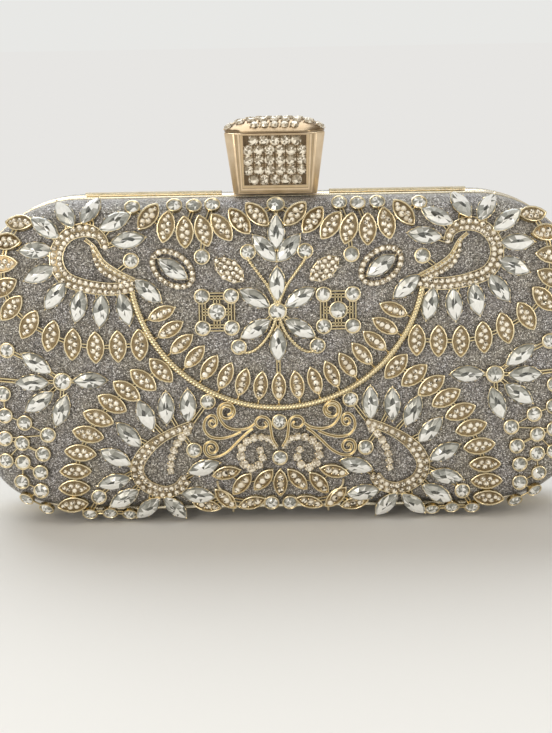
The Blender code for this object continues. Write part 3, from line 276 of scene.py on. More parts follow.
NECKLACE_SHARES = (
    (0.806, 0.935, 70), (0.846, 0.884, 80), (0.864, 0.822, 94), (0.866, 0.752, 118), (0.840, 0.690, 138),
    (0.786, 0.640, 150), (0.720, 0.604, 165), (0.652, 0.577, 176), (0.580, 0.566, 180), (0.509, 0.568, 180),
    (0.440, 0.572, 180),
)
SIDE_HEART_SHARES = (0.690, 0.462)
SIDE_PETAL_SHARES = (
    (0.602, 0.464, 90), (0.786, 0.460, 90), (0.770, 0.520, 55), (0.766, 0.400, 125), (0.698, 0.372, 160),
)
SIDE_STONE_SHARES = (0.862, 0.560)
SIDE_END_SHARES = (0.93, 0.47)
BAND_SHARES = (
    (0.374, 0.492, 42), (0.432, 0.463, 50), (0.486, 0.430, 54), (0.534, 0.391, 60), (0.580, 0.347, 69),
    (0.615, 0.296, 75), (0.642, 0.238, 82), (0.661, 0.180, 90), (0.668, 0.124, 90), (0.676, 0.070, 98),
)
LOWER_PAISLEY_SHARES = (
    (0.284, 0.320), (0.324, 0.306), (0.368, 0.286), (0.412, 0.258), (0.448, 0.220), (0.462, 0.182),
    (0.448, 0.143), (0.414, 0.117), (0.372, 0.106), (0.330, 0.120), (0.306, 0.150),
)
LOWER_INNER_SHARES = ((0.296, 0.300), (0.326, 0.268), (0.348, 0.222), (0.354, 0.176))
LOWER_RAY_SHARES = (
    (0.292, 0.380, 0), (0.362, 0.374, 0), (0.428, 0.352, 24), (0.484, 0.291, 43), (0.530, 0.221, 63),
    (0.538, 0.142, 103), (0.508, 0.086, 120), (0.432, 0.056, 138), (0.344, 0.056, 215), (0.268, 0.092, 262),
    (0.246, 0.184, 288),
)
LOWER_STONE_SHARES = ((0.228, 0.392), (0.276, 0.240))
LOWER_WIDTHS = (0.0024, 0.0026, 0.0038, 0.0040, 0.0040, 0.0034)
LOWER_PITCH = 0.00208
LOWER_INNER_WIDTHS = (0.0029, 0.0028, 0.0026, 0.0023)
BORDER_STONE_SHARES = ((0.590, 0.092), (0.624, 0.040), (0.558, 0.042), (0.494, 0.036))
CORNER_STONE_SHARES = (
    (0.882, 0.424), (0.880, 0.356), (0.816, 0.334), (0.744, 0.296), (0.884, 0.284), (0.762, 0.236),
    (0.828, 0.270), (0.884, 0.214), (0.774, 0.176), (0.830, 0.208), (0.836, 0.146), (0.776, 0.116), (0.824, 0.090),
    (0.762, 0.058),
)
HORSESHOE_SHARES = (
    (0.012, 0.246), (0.030, 0.268), (0.052, 0.277), (0.082, 0.276), (0.112, 0.260), (0.127, 0.231), (0.116, 0.195),
    (0.091, 0.180), (0.064, 0.194), (0.056, 0.219), (0.070, 0.246),
)
HORSESHOE_WIDTHS = (0.0012, 0.0022, 0.0028, 0.0030, 0.0031, 0.0031, 0.0030, 0.0028, 0.0024)
SCROLL_PATH_SHARES = (
    (
        (0.166, 0.351), (0.152, 0.359), (0.154, 0.373), (0.170, 0.378), (0.184, 0.370), (0.186, 0.352), (0.172, 0.340),
        (0.152, 0.345), (0.143, 0.363), (0.152, 0.381), (0.170, 0.388), (0.188, 0.381), (0.196, 0.361), (0.188, 0.335),
        (0.168, 0.313), (0.134, 0.304), (0.098, 0.310), (0.077, 0.325),
    ),
    (
        (0.048, 0.328), (0.040, 0.317), (0.052, 0.309), (0.068, 0.312), (0.077, 0.326), (0.070, 0.339), (0.056, 0.344),
        (0.040, 0.339), (0.031, 0.326), (0.028, 0.304), (0.023, 0.275), (0.008, 0.248),
    ),
    (
        (0.208, 0.327), (0.214, 0.335), (0.223, 0.331), (0.225, 0.322), (0.215, 0.314), (0.203, 0.321), (0.201, 0.334),
        (0.207, 0.347), (0.222, 0.350), (0.238, 0.335), (0.241, 0.308), (0.224, 0.285), (0.191, 0.278), (0.154, 0.285),
        (0.124, 0.298),
    ),
    (
        (0.217, 0.246), (0.221, 0.254), (0.230, 0.249), (0.226, 0.235), (0.211, 0.233), (0.201, 0.246), (0.207, 0.262),
        (0.221, 0.268), (0.237, 0.262), (0.243, 0.246), (0.236, 0.228), (0.218, 0.220), (0.191, 0.224), (0.163, 0.240),
        (0.134, 0.268), (0.106, 0.293), (0.086, 0.307),
    ),
)
SCROLL_STONE_SHARES = ((0, 0.325), (0, 0.212))
FAN_FOOT_SHARES = ((0.055, 0.141, -40), (0.125, 0.128, -39), (0.174, 0.166, -78))
FOOT_BORDER_SHARES = ((0.094, 0.067, -72), (0.179, 0.080, 45), (0.240, 0.061, 75))
FOOT_WIRE_SHARES = ((0.204, 0.140), (0.199, 0.116), (0.170, 0.090), (0.156, 0.062), (0.155, 0.040))
FOOT_MIDDLE_SHARES = (0, 0.130)
FOOT_ROUND_SHARES = (0.030, 0.066)

# What fills each kind of leaf, as shares of its half length: stones as along, across and radius, beads as along, across
LEAF_FILLINGS = {
    "leaf": (
        (
            (-0.69, 0.00, 0.125), (-0.44, 0.13, 0.145), (-0.22, -0.15, 0.155), (0.00, 0.16, 0.160),
            (0.22, -0.15, 0.155), (0.44, 0.11, 0.145), (0.68, -0.01, 0.120),
        ),
        ((-0.57, -0.10), (-0.33, -0.03), (-0.11, 0.02), (0.11, 0.01), (0.33, -0.02), (0.56, -0.10)),
    ),
    "fan": (
        ((-0.56, 0.00, 0.205), (-0.14, 0.03, 0.200), (0.24, -0.02, 0.165), (0.55, 0.00, 0.130)),
        ((-0.35, 0.22), (-0.35, -0.22), (0.06, 0.22), (0.06, -0.22), (0.42, 0.13), (0.42, -0.13)),
    ),
    "foot": (
        ((-0.55, 0.01, 0.195), (-0.09, -0.02, 0.215), (0.38, 0.02, 0.195)),
        ((-0.33, 0.20), (-0.33, -0.20), (0.14, 0.21), (0.14, -0.21), (0.66, 0.0), (-0.80, 0.0)),
    ),
}


def at(across_share, height_share):
    """x and z from a share of the half width and a share of the height."""
    return across_share * HALF_WIDTH, height_share * HEIGHT


def places_of(rows, side=1):
    """x, z and turn of each row of shares, on this side of the case."""
    return [(*at(side * row[0], row[1]), side * row[2] if len(row) > 2 else 0) for row in rows]


def line_of(rows, side=1):
    """x and z of each row of shares, on this side of the case."""
    return [at(side * across, height) for across, height in rows]


def between(values, share):
    """The value this far along a row of values."""
    spot = share * (len(values) - 1)
    low = min(int(spot), len(values) - 2)
    return values[low] + (values[low + 1] - values[low]) * (spot - low)


def way_at(points, i, closed=False):
    """The way along the points at this one."""
    if closed:
        return points[(i + 1) % len(points)] - points[i - 1]
    return points[min(i + 1, len(points) - 1)] - points[max(i - 1, 0)]


def axes_matrix(place, side, along, normal):
    """Puts a shape at a place, with its own x, y and z along these ways."""
    matrix = Matrix((side, along, normal)).transposed().to_4x4()
    matrix.translation = place
    return matrix


def moved(matrix, *offset):
    """The matrix moved along its own axes."""
    return matrix @ Matrix.Translation(offset)


def inset_and_out(x, z):
    """How far inside the case's edge a place on its front is, and the way to that edge."""
    across = abs(x) - (HALF_WIDTH - CORNER_RADIUS)
    along = abs(z - HALF_HEIGHT) - (HALF_HEIGHT - CORNER_RADIUS)
    side = math.copysign(1, x)
    rise = math.copysign(1, z - HALF_HEIGHT)
    if across > 0 and along > 0:
        reach = math.hypot(across, along)
        return CORNER_RADIUS - reach, Vector((side * across / reach, 0, rise * along / reach))
    if across > along:
        return CORNER_RADIUS - across, Vector((side, 0, 0))
    return CORNER_RADIUS - along, Vector((0, 0, rise))


def face_depth(inset):
    """The depth of the fabric at this inset, and how steeply it turns away there."""
    if inset < EDGE_CENTRE_INSET:
        tilt = math.asin(min((EDGE_CENTRE_INSET - inset) / EDGE_RADIUS, 1))
        return EDGE_CENTRE_DEPTH + EDGE_RADIUS * math.cos(tilt), tilt
    run = CROWN_INSET - EDGE_CENTRE_INSET
    share = min((inset - EDGE_CENTRE_INSET) / run, 1)
    depth = HALF_DEPTH - CROWN + CROWN * share * share * (3 - 2 * share)
    return depth, math.atan(CROWN * 6 * share * (1 - share) / run)


def seat(x, z):
    """The place on the front fabric at x, z, and the way it faces there."""
    inset, out = inset_and_out(x, z)
    depth, tilt = face_depth(max(inset, COVER_INSET))
    tilt = min(tilt, STEEPEST_SEAT)
    return Vector((x, PARTING - depth, z)), out * math.sin(tilt) + Vector((0, -math.cos(tilt), 0))


def seat_matrix(x, z, turn=0, lift=0):
    """Puts a shape drawn in its own x (across), y (along) and z (up) on the fabric. Turn is in degrees, to +X."""
    place, normal = seat(x, z)
    along = Vector((math.sin(math.radians(turn)), 0, math.cos(math.radians(turn))))
    along = (along - normal * along.dot(normal)).normalized()
    return axes_matrix(place + normal * (SEAT_GAP + lift), along.cross(normal), along, normal)


def laid(places, lift):
    """Points on the fabric, raised by lift, and the way it faces at each."""
    seats = [seat(x, z) for x, z in places]
    return [place + normal * (SEAT_GAP + lift) for place, normal in seats], [normal for _, normal in seats]


def smooth_path(places, spacing, closed=False):
    """Places on a smooth curve through these ones, evenly spaced."""
    points = [Vector(place) for place in places]
    count = len(points)
    fine = []
    for i in range(count if closed else count - 1):
        near = [(i + k) % count if closed else min(max(i + k, 0), count - 1) for k in (-1, 0, 1, 2)]
        a, b, c, d = [points[k] for k in near]
        for step in range(CURVE_STEPS):
            t = step / CURVE_STEPS
            fine.append(
                b + (c - a) * (0.5 * t)
                + (a * 2 - b * 5 + c * 4 - d) * (0.5 * t * t)
                + (b * 3 - a - c * 3 + d) * (0.5 * t * t * t)
            )
    fine.append(points[0] if closed else points[-1])
    total = sum((q - p).length for p, q in zip(fine, fine[1:]))
    steps = max(2, round(total / spacing))
    result = [fine[0]]
    goal = total / steps
    run = 0
    for p, q in zip(fine, fine[1:]):
        length = (q - p).length
        while length > 0 and run + length >= goal * len(result) - WELD / 10 and len(result) < steps:
            result.append(p.lerp(q, (goal * len(result) - run) / length))
        run += length
    return result if closed else result + [fine[-1]]


# Meshes and objects

def mesh_from(name, bm):
    mesh = bpy.data.meshes.new(name)
    bm.to_mesh(mesh)
    bm.free()
    return mesh


def new_object(name, data):
    item = bpy.data.objects.new(name, data)
    bpy.context.scene.collection.objects.link(item)
    return item


def add_object(name, bm, body, finishes, node=None, smooth=None):
    """Makes one piece, which stands for its node if it has one. Edges under smooth degrees are shaded smooth."""
    mesh = mesh_from(name, bm)
    piece = new_object(name, mesh)
    for finish in finishes:
        mesh.materials.append(finish_for(finish))
    if smooth:
        mesh.shade_smooth()
        mesh.set_sharp_from_angle(angle=math.radians(smooth))
    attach(piece, body)
    if node:
        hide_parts(node)
    return piece


def add_shape(bm, part):
    """Adds one bmesh to another and frees it."""
    mesh = mesh_from("part", part)
    bm.from_mesh(mesh)
    bpy.data.meshes.remove(mesh)


def new_face(bm, points):
    return bm.faces.new([bm.verts.new(point) for point in points])


def extrude(bm, face, points=()):
    """Draws a face out, to the given points if there are any."""
    face = bmesh.ops.extrude_discrete_faces(bm, faces=[face])["faces"][0]
    for vert, point in zip(face.verts, points):
        vert.co = point
    return face


def close_open_edge(bm):
    bmesh.ops.contextual_create(bm, geom=[edge for edge in bm.edges if edge.is_boundary])


# Gives every face of the bmesh this much painted shade, for the gold's crevice ramp
def set_crevice_shade(bm, value):
    crevice = bm.faces.layers.float.get("crevice") or bm.faces.layers.float.new("crevice")
    for face in bm.faces:
        face[crevice] = value
    return crevice


def tube(bm, points, normals, section, closed=False, dark=0.0, groove=2.4):
    """Sweeps a section, given by ring number as places across and up, along the points. Its faces get painted shade:
    the dark share everywhere, and more where they lie in the section's hollows.
    """
    rows = len(points) if closed else len(points) - 1
    sides = len(section(0))
    part = bmesh.new()
    bmesh.ops.create_grid(part, x_segments=rows, y_segments=sides, size=1)
    hollow = part.verts.layers.float.new("hollow")
    frames = []
    for i, point in enumerate(points):
        way = way_at(points, i, closed)
        across = way.cross(normals[i]).normalized()
        ring = section(i)
        frames.append((point, across, across.cross(way).normalized(), ring, max(math.hypot(*spot) for spot in ring)))
    for vert in part.verts:
        i = round((vert.co.x + 1) / 2 * rows) % len(points)
        j = round((vert.co.y + 1) / 2 * sides) % sides
        point, across, up, ring, widest = frames[i]
        vert.co = point + across * ring[j][0] + up * ring[j][1]
        vert[hollow] = 1 - math.hypot(*ring[j]) / widest
    bmesh.ops.remove_doubles(part, verts=part.verts, dist=WELD)
    ends = [edge for edge in part.edges if edge.is_boundary]
    if ends:
        bmesh.ops.holes_fill(part, edges=ends, sides=0)
    bmesh.ops.recalc_face_normals(part, faces=part.faces)
    # Painted shade: the dark share on every face, plus the groove share of how far in from the widest point it lies
    crevice = part.faces.layers.float.new("crevice")
    for face in part.faces:
        face[crevice] = min(1, dark + groove * sum(vert[hollow] for vert in face.verts) / len(face.verts))
    part.verts.layers.float.remove(hollow)
    add_shape(bm, part)


def round_section(radius, sides):
    ring = [(radius * math.cos(math.tau * k / sides), radius * math.sin(math.tau * k / sides)) for k in range(sides)]
    return lambda i: ring


def rope_section(radius, sides, strands):
    """A twisted rope: a section with one lobe to a strand, turned a little at each ring."""
    def section(i):
        twist = math.tau * i / ROPE_RINGS_A_TURN / strands
        ring = []
        for k in range(sides):
            angle = math.tau * k / sides
            lobe = radius * (0.68 + 0.32 * abs(math.cos((angle - twist) * strands / 2)))
            ring.append((lobe * math.cos(angle), lobe * math.sin(angle)))
        return ring
    return section


def grooved_section(width):
    """A flat wire with a raised edge along each side."""
    half = width / 2
    shares = ((1, 0), (1, 0.75), (0.9, 1), (0.5, 1), (0.3, 0.5), (0, 0.4))
    ring = [(half * across, GROOVED_HEIGHT * up) for across, up in shares]
    ring += [(-across, up) for across, up in ring[-2::-1]]
    return lambda i: ring


# Shapes drawn once and stamped many times

def pointed_oval(length, width, fullness, segments=16):
    """A flat face with this outline, its points up and down its own y."""
    bm = bmesh.new()
    verts = bmesh.ops.create_circle(bm, cap_ends=True, radius=1, segments=segments)["verts"]
    for vert in verts:
        along = vert.co.y
        across = math.copysign(max(1 - along * along, 0) ** fullness, vert.co.x) if abs(vert.co.x) > 1e-4 else 0
        vert.co = Vector((across * width / 2, along * length / 2, 0))
    return bm


def disc(radius, segments):
    bm = bmesh.new()
    bmesh.ops.create_circle(bm, cap_ends=True, radius=radius, segments=segments)
    return bm


def stack(bm, steps):
    """Draws the face of a flat shape up in steps of scale across, scale along and rise, and returns the last."""
    face = bm.faces[:][0]
    for across, along, rise in steps:
        face = extrude(bm, face)
        height = face.calc_center_median().z + rise
        bmesh.ops.scale(bm, verts=face.verts, vec=(across, along, 1))
        for vert in face.verts:
            vert.co.z = height
    close_open_edge(bm)
    return face


def template(bm):
    bmesh.ops.recalc_face_normals(bm, faces=bm.faces)
    return mesh_from("template", bm)


def tray(bm, height):
    """A setting with this outline: a wall, a thin rounded rim and a sunk bed, the wall and bed darkened by painted
    shade.
    """
    crevice = bm.faces.layers.float.new("crevice")
    third = RIM_WIDTH / 3
    quarter = RIM_WIDTH / 4
    face = stack(bm, [(1, 1, height - quarter)])
    for thickness, depth in ((third, quarter), (third, 0), (third, -third), (quarter, third - BED_DEPTH)):
        bmesh.ops.inset_region(bm, faces=[face], thickness=thickness, depth=0, use_even_offset=True)
        for vert in face.verts:
            vert.co.z += depth
    # Painted shade: the wall and the sunk bed are darkened, the rim on top is left bright
    for item in bm.faces:
        item[crevice] = 0 if item.calc_center_median().z > height * 0.9 else WALL_PAINTED_SHADE
    face[crevice] = BED_PAINTED_SHADE
    return template(bm)


def cut_stone(bm, steps):
    """A cut stone with this outline: a girdle, rows of sloping facets cut into triangles and a fanned table."""
    table = stack(bm, [(1, 1, STONE_GIRDLE), *steps])
    quads = [face for face in bm.faces if len(face.verts) == 4]
    slopes = [face for face in quads if max(vert.co.z for vert in face.verts) > STONE_GIRDLE * 1.5]
    bmesh.ops.triangulate(bm, faces=slopes, quad_method="ALTERNATE")
    bmesh.ops.poke(bm, faces=[table], offset=STONE_PEAK)
    return template(bm)


def make_templates(sizes):
    shapes = {}
    for name in ("leaf", "fan_leaf", "wing_leaf"):
        length, width = getattr(sizes, name + "_length"), getattr(sizes, name + "_width")
        shapes[name] = tray(pointed_oval(length, width, LEAF_FULLNESS), WALL_HEIGHT)
    ovals = []
    for (along, across), segments in ((CUP_SHARES, 12), (NAVETTE_SHARES, 14)):
        size = (sizes.navette_length * along, sizes.navette_width * across)
        ovals.append(pointed_oval(*size, NAVETTE_FULLNESS, segments))
    shapes["cup"] = tray(ovals[0], GIRDLE_LIFT)
    shapes["navette"] = cut_stone(ovals[1], NAVETTE_STEPS)
    for name, size in (("round", sizes.round_size), ("large", sizes.large_round_size)):
        shapes[name + "_bezel"] = tray(disc(size / 2, 20), WALL_HEIGHT)
        shapes[name + "_stone"] = cut_stone(disc(size / 2 - STONE_MARGIN, 10), ROUND_STEPS)
    bm = bmesh.new()
    bmesh.ops.create_cone(bm, cap_ends=True, segments=8, radius1=1, radius2=0.62, depth=0.5)
    top = max(bm.faces, key=lambda face: face.calc_center_median().z)
    bmesh.ops.poke(bm, faces=[top], offset=0.14)
    shapes["small"] = template(bm)
    bm = bmesh.new()
    bmesh.ops.create_icosphere(bm, subdivisions=1, radius=1)
    shapes["bead"] = template(bm)
    return shapes


class Casting:
    """Collects one casting's gold and its stones while it is set out. A place is its x, its z and mostly its turn."""

    def __init__(self, shapes):
        self.shapes = shapes
        self.sizes = bpy.context.scene.clutch_sizes
        self.gold = bmesh.new()
        set_crevice_shade(self.gold, 0)
        self.stones = bmesh.new()
        # Each stone facet's lightness, which paints its highlights, reflections and shade
        self.tone = self.stones.faces.layers.float.new("tone")

    def stamp(self, name, matrix, stone=False):
        """Adds a shape to the gold, or to the stones, and returns its faces there."""
        bm = self.stones if stone else self.gold
        verts = len(bm.verts)
        faces = len(bm.faces)
        bm.from_mesh(self.shapes[name])
        bm.verts.ensure_lookup_table()
        bm.faces.ensure_lookup_table()
        bmesh.ops.transform(bm, matrix=matrix, verts=bm.verts[verts:])
        return bm.faces[faces:]

    def bead(self, matrix, radius):
        self.stamp("bead", matrix @ Matrix.Scale(radius, 4))

    def four_beads(self, matrix, start, reach, lift, radius):
        """Four beads round a stone, the first one at this angle."""
        for angle in range(start, start + 360, 90):
            self.bead(moved(matrix @ Matrix.Rotation(math.radians(angle), 4, "Z"), reach, 0, lift), radius)

    def small_stone(self, matrix, radius):
        """A small champagne stone with painted light: a table painted bright as a highlight, with a few dark facets,
        and a ring painted darker above.
        """
        faces = self.stamp("small", matrix @ Matrix.Scale(radius, 4), stone=True)
        centre = matrix.translation
        spark = random_numbers.uniform(-0.10, 0.10)
        table_highlight = 1.0 if random_numbers.random() < 0.7 else 0.80
        for i, face in enumerate(faces):
            face.material_index = 1
            place = face.calc_center_median() - centre
            chance = random_numbers.random()
            if len(face.verts) == 3:
                tone = table_highlight - (0.42 + 0.30 * chance if i % 2 else 0) if chance > 0.18 else 0.12
            elif place.z < 0:
                tone = 0.46 + 0.36 * chance
            else:
                tone = 0.22 + 0.36 * chance
            face[self.tone] = min(1, max(0, tone + spark))

    def round_stone(self, matrix, radius, height, painted_highlight=0.0):
        """A champagne stone of this radius, its table cut as a star, its facets painted light and dark and brightened
        by the extra painted highlight it is given.
        """
        scale = radius / (self.sizes.round_size / 2 - STONE_MARGIN)
        faces = self.stamp("round_stone", matrix @ Matrix.Diagonal((scale, scale, height, 1)), stone=True)
        self.star_painted_light(faces, matrix, painted_highlight, 1)

    def star_painted_light(self, faces, matrix, painted_highlight=0.0, warm=0):
        """Painted light and shade of a round stone: a star of bright and dark facets on the table, and a ring that is
        painted brighter below.
        """
        centre = matrix.translation
        widest = max((face.calc_center_median() - centre).length for face in faces)
        for i, face in enumerate(faces):
            place = face.calc_center_median() - centre
            chance = random_numbers.random()
            if place.length < widest * 0.55:
                tone = 0.04 + 0.24 * chance if i % 2 else 0.72 + 0.28 * chance
            elif place.z < -widest * 0.1:
                tone = 0.76 + 0.24 * chance if chance > 0.25 else 0.25
            else:
                tone = 0.24 + 0.40 * chance if chance < 0.75 else 0.95
            face[self.tone] = min(1, tone + painted_highlight)
            face.material_index = warm

    def cut_painted_light(self, faces, matrix, half_length, half_width):
        """Light and dark of the foiled facets. The side that faces the light is bright, the other one grey, with a
        dark patch in the middle; a stone that leans back shows them the other way up."""
        side, along, normal = [matrix.col[i].to_3d() for i in range(3)]
        light = Vector((0.12, 0, -1)) if normal.z < 0.35 else Vector((0.12, 0, 1))
        reach = math.hypot(light.dot(side) * half_width, light.dot(along) * half_length)
        centre = matrix.translation
        slip = random_numbers.uniform(-0.10, 0.10)
        for face in faces:
            place = face.calc_center_median() - centre
            ring = math.hypot(place.dot(side) / half_width, place.dot(along) / half_length)
            drop = place.dot(light) / reach + slip
            chance = random_numbers.random()
            if ring < 0.34:
                tone = 0.02 + 0.22 * chance if drop < 0.05 else 0.86 + 0.14 * chance
            elif ring < 0.74:
                tone = 0.82 + 0.18 * chance if drop > 0.10 else 0.34 + 0.30 * chance
            else:
                tone = 0.50 + 0.36 * chance if drop > 0.32 else 0.22 + 0.30 * chance
            if random_numbers.random() > 0.88:
                tone = 1.0 if tone < 0.6 else 0.22
            face[self.tone] = tone

    def leaves(self, places, kind="leaf"):
        """Leaf-shaped settings filled with small stones."""
        shape = "leaf" if kind == "leaf" else "fan_leaf"
        half = (LEAF_DESIGN_LENGTH if kind == "leaf" else self.sizes.fan_leaf_length) / 2
        stones, beads = LEAF_FILLINGS[kind]
        for place in places:
            self.stamp(shape, seat_matrix(*place))
            flip = random_numbers.choice((-1, 1)) if kind == "leaf" else 1
            base = seat_matrix(*place, BED_LIFT)
            for along, across, radius in stones:
                spot = moved(base, flip * across * half, along * half, radius * half * 0.3)
                self.small_stone(spot, radius * half * LEAF_STONE_SWELL)
            for along, across in beads:
                self.bead(moved(base, flip * across * half, along * half, 0.0003), FILLING_BEAD)
            for end in (-1, 1):
                self.bead(moved(base, 0, end * half * 0.97, -0.0001), LEAF_TIP_BEAD)

    def wing(self, place):
        """The big leaf, filled with close rows of small stones that hide its rim."""
        half_length, half_width = self.sizes.wing_leaf_length / 2, self.sizes.wing_leaf_width / 2
        self.stamp("wing_leaf", seat_matrix(*place, -0.0003) @ Matrix.Diagonal((*WING_SHRINK, 1, 1)))
        base = seat_matrix(*place, BED_LIFT)
        for row in range(-3, 4):
            along = row * WING_PITCH * 0.9
            reach = half_width * max(1 - (along / half_length) ** 2, 0) ** LEAF_FULLNESS - WING_PITCH * 0.40
            count = int(2 * reach / WING_PITCH) + 1 if reach > 0 else 0
            for k in range(count):
                across = (k - (count - 1) / 2) * WING_PITCH
                self.small_stone(moved(base, across, along, 0.0003), WING_PITCH * 0.55)
                self.bead(moved(base, across + WING_PITCH / 2, along + WING_PITCH * 0.4, 0.00035), WING_BEAD)

    def navettes(self, places):
        """Pointed-oval stones on cups, held at their ends and along their sides."""
        half_length, half_width = self.sizes.navette_length / 2, self.sizes.navette_width / 2
        for place in places:
            self.stamp("cup", seat_matrix(*place))
            matrix = seat_matrix(*place, GIRDLE_LIFT - 0.0001)
            self.cut_painted_light(self.stamp("navette", matrix, stone=True), matrix, half_length, half_width)
            for end in (-1, 1):
                prong = moved(matrix, 0, end * half_length * 0.95, 0.0002) @ Matrix.Diagonal((0.8, 1.5, 0.9, 1))
                self.bead(prong, NAVETTE_PRONG)
            for across in (-1, 1):
                for along in (-1, 1):
                    edge = moved(matrix, across * half_width * 0.80, along * half_length * 0.42, 0.0002)
                    self.bead(edge, SIDE_BEAD)

    def rounds(self, places, kind="round"):
        """Round stones in thin collars, their tables cut as stars."""
        for x, z, *_ in places:
            turn = random_numbers.uniform(0, 36)
            self.stamp(kind + "_bezel", seat_matrix(x, z, turn))
            matrix = seat_matrix(x, z, turn, BED_LIFT)
            self.star_painted_light(self.stamp(kind + "_stone", matrix, stone=True), matrix)

    def stone_row(self, places, widths):
        """Close-set round stones along the places, each in its own cup, their size following the widths."""
        path = smooth_path(places, STONE_ROW_STEP)
        run = 0
        while run < len(path):
            size = between(widths, run / len(path))
            matrix = seat_matrix(*path[int(run)], random_numbers.uniform(0, 45), WALL_HEIGHT - 0.0002)
            self.stamp("bead", moved(matrix, 0, 0, -0.0006) @ Matrix.Diagonal((size * 0.53, size * 0.53, 0.0010, 1)))
            self.round_stone(matrix, size * 0.47, 0.8, STONE_ROW_PAINTED_HIGHLIGHT)
            self.four_beads(matrix, 0, size * 0.46, 0.0002, SIDE_BEAD)
            run += size * STONE_ROW_SPACING / STONE_ROW_STEP

    def lay(self, places, section, lift, spacing, **shade_marks):
        """A wire or rope of this section on the fabric, along a smooth path, with the painted shade that the marks pass
        to the tube.
        """
        points, normals = laid(smooth_path(places, spacing), lift)
        tube(self.gold, points, normals, section, **shade_marks)

    def link(self, start, end, bars=2, radius=LINK_RADIUS, lift=LINK_LIFT):
        """Short bars side by side between two settings."""
        start = Vector(start[:2])
        end = Vector(end[:2])
        way = end - start
        beside = Vector((-way.y, way.x)).normalized() * LINK_HALF_SPACING
        for k in range(bars):
            offset = beside * (2 * k - bars + 1)
            # Links lie low under the settings and get painted shade all over
            self.lay([start + offset, end + offset], round_section(radius, 6), lift, LINK_RING_SPACING, dark=0.15)

    def spokes(self, heart, places):
        """Links from one place to each of the others."""
        for place in places:
            self.link(heart, place)

    def chain(self, places, bars=2):
        """Links from each place to the next."""
        for start, end in zip(places, places[1:]):
            self.link(start, end, bars)

    def join(self, places, band):
        """Links from each place to the nearest point of a band."""
        for place in places:
            self.link(place, min(band, key=lambda point: math.dist(point, place[:2])))

    def pave_band(self, places, widths, pitch, closed=False, edge=0.0):
        """A raised band along the places, covered with as many rows of small stones as its width takes, with a thin
        bright wire along its borders where edge gives it a radius."""
        path = smooth_path(places, BAND_RING_SPACING, closed)
        rooms = [between(widths, i / (len(path) - 1)) for i in range(len(path))]
        top = WALL_HEIGHT - 0.0002

        def section(i):
            half = rooms[i] / 2 * 0.92
            right = [(half, 0), (half, top * 0.6), (half * 0.9, top)]
            return right + [(-across, up) for across, up in right[::-1]]

        # The band's plate between the stones gets heavy painted shade
        tube(self.gold, *laid(path, 0), section, closed, dark=0.75, groove=0.2)
        borders = (-1, 1) if edge else ()
        for hand in borders:
            border = []
            for i, place in enumerate(path):
                way = way_at(path, i).normalized()
                border.append(place + Vector((way.y, -way.x)) * hand * rooms[i] * 0.52)
            tube(self.gold, *laid(border, WALL_HEIGHT - 0.0001), round_section(edge, 6))
        stones = smooth_path(places, pitch, closed)
        last = len(stones) - 1
        for i, place in enumerate(stones):
            room = between(widths, i / last)
            rows = max(1, round(room / pitch))
            radius = min(pitch, room / rows * 1.1) * 0.54
            way = way_at(stones, i, closed).normalized()
            beside = Vector((way.y, -way.x))
            for row in range(rows):
                if row % 2 and not closed and i == last:
                    continue
                spot = place + beside * ((row - (rows - 1) / 2) * room / rows) + way * (pitch / 2 if row % 2 else 0)
                matrix = seat_matrix(*spot, random_numbers.uniform(0, 45), WALL_HEIGHT - 0.0001)
                self.small_stone(moved(matrix, 0, 0, radius * 0.25), radius)
                prong = spot + way * pitch * 0.5 + beside * radius * 0.6
                self.bead(seat_matrix(*prong, 0, WALL_HEIGHT + 0.0001), BAND_BEAD)

    def shade_gold(self):
        """Paints shade on the gold low down between the settings: the nearer a face lies to the fabric, the darker."""
        crevice = self.gold.faces.layers.float.get("crevice")
        for face in self.gold.faces:
            middle = face.calc_center_median()
            place, normal = seat(middle.x, middle.z)
            rise = min(max((middle - place).dot(normal) / (SEAT_GAP + WALL_HEIGHT), 0), 1)
            face[crevice] = min(1, face[crevice] + 0.6 * (1 - rise))

    def finish(self, gold_name, stones_name, body, finish, slot, node):
        """Makes the casting's two objects, and lets the gold one stand for its node."""
        add_object(gold_name, self.gold, body, [finish], node, SMOOTH_ANGLE)
        add_object(stones_name, self.stones, body, ["clear_crystal", "champagne_crystal"])


# Materials

def new_material(name, colour, roughness, metallic, **sockets):
    material = bpy.data.materials.new(name)
    material.use_nodes = True
    shader = material.node_tree.nodes["Principled BSDF"]
    shader.inputs["Base Color"].default_value = (*colour, 1)
    shader.inputs["Roughness"].default_value = roughness
    shader.inputs["Metallic"].default_value = metallic
    for socket, value in sockets.items():
        shader.inputs[socket.replace("_", " ")].default_value = value
    material.diffuse_color = (*colour, 1)
    return material


def add_node(material, kind, links=(), **values):
    """Adds a node. Links are rows of its input, the other node and that node's output."""
    tree = material.node_tree
    node = tree.nodes.new("ShaderNode" + kind)
    for name, value in values.items():
        if name in node.bl_rna.properties:
            setattr(node, name, value)
        else:
            node.inputs[name.replace("_", " ")].default_value = value
    for socket, other, output in links:
        tree.links.new(other.outputs[output], node.inputs[socket])
    return node


def texture(material, kind, scale, stretch=None, **values):
    """A texture in the piece's own space, stretched where asked."""
    link = ("Vector", add_node(material, "TexCoord"), "Object")
    if stretch:
        link = ("Vector", add_node(material, "Mapping", [link], Scale=stretch), "Vector")
    return add_node(material, "Tex" + kind, [link], Scale=scale, **values)


def ramp(material, source, output, stops):
    node = add_node(material, "ValToRGB", [("Fac", source, output)])
    elements = node.color_ramp.elements
    while len(elements) < len(stops):
        elements.new(0.5)
    for element, (place, colour) in zip(elements, stops):
        element.position = place
        element.color = (*colour, 1)
    return node


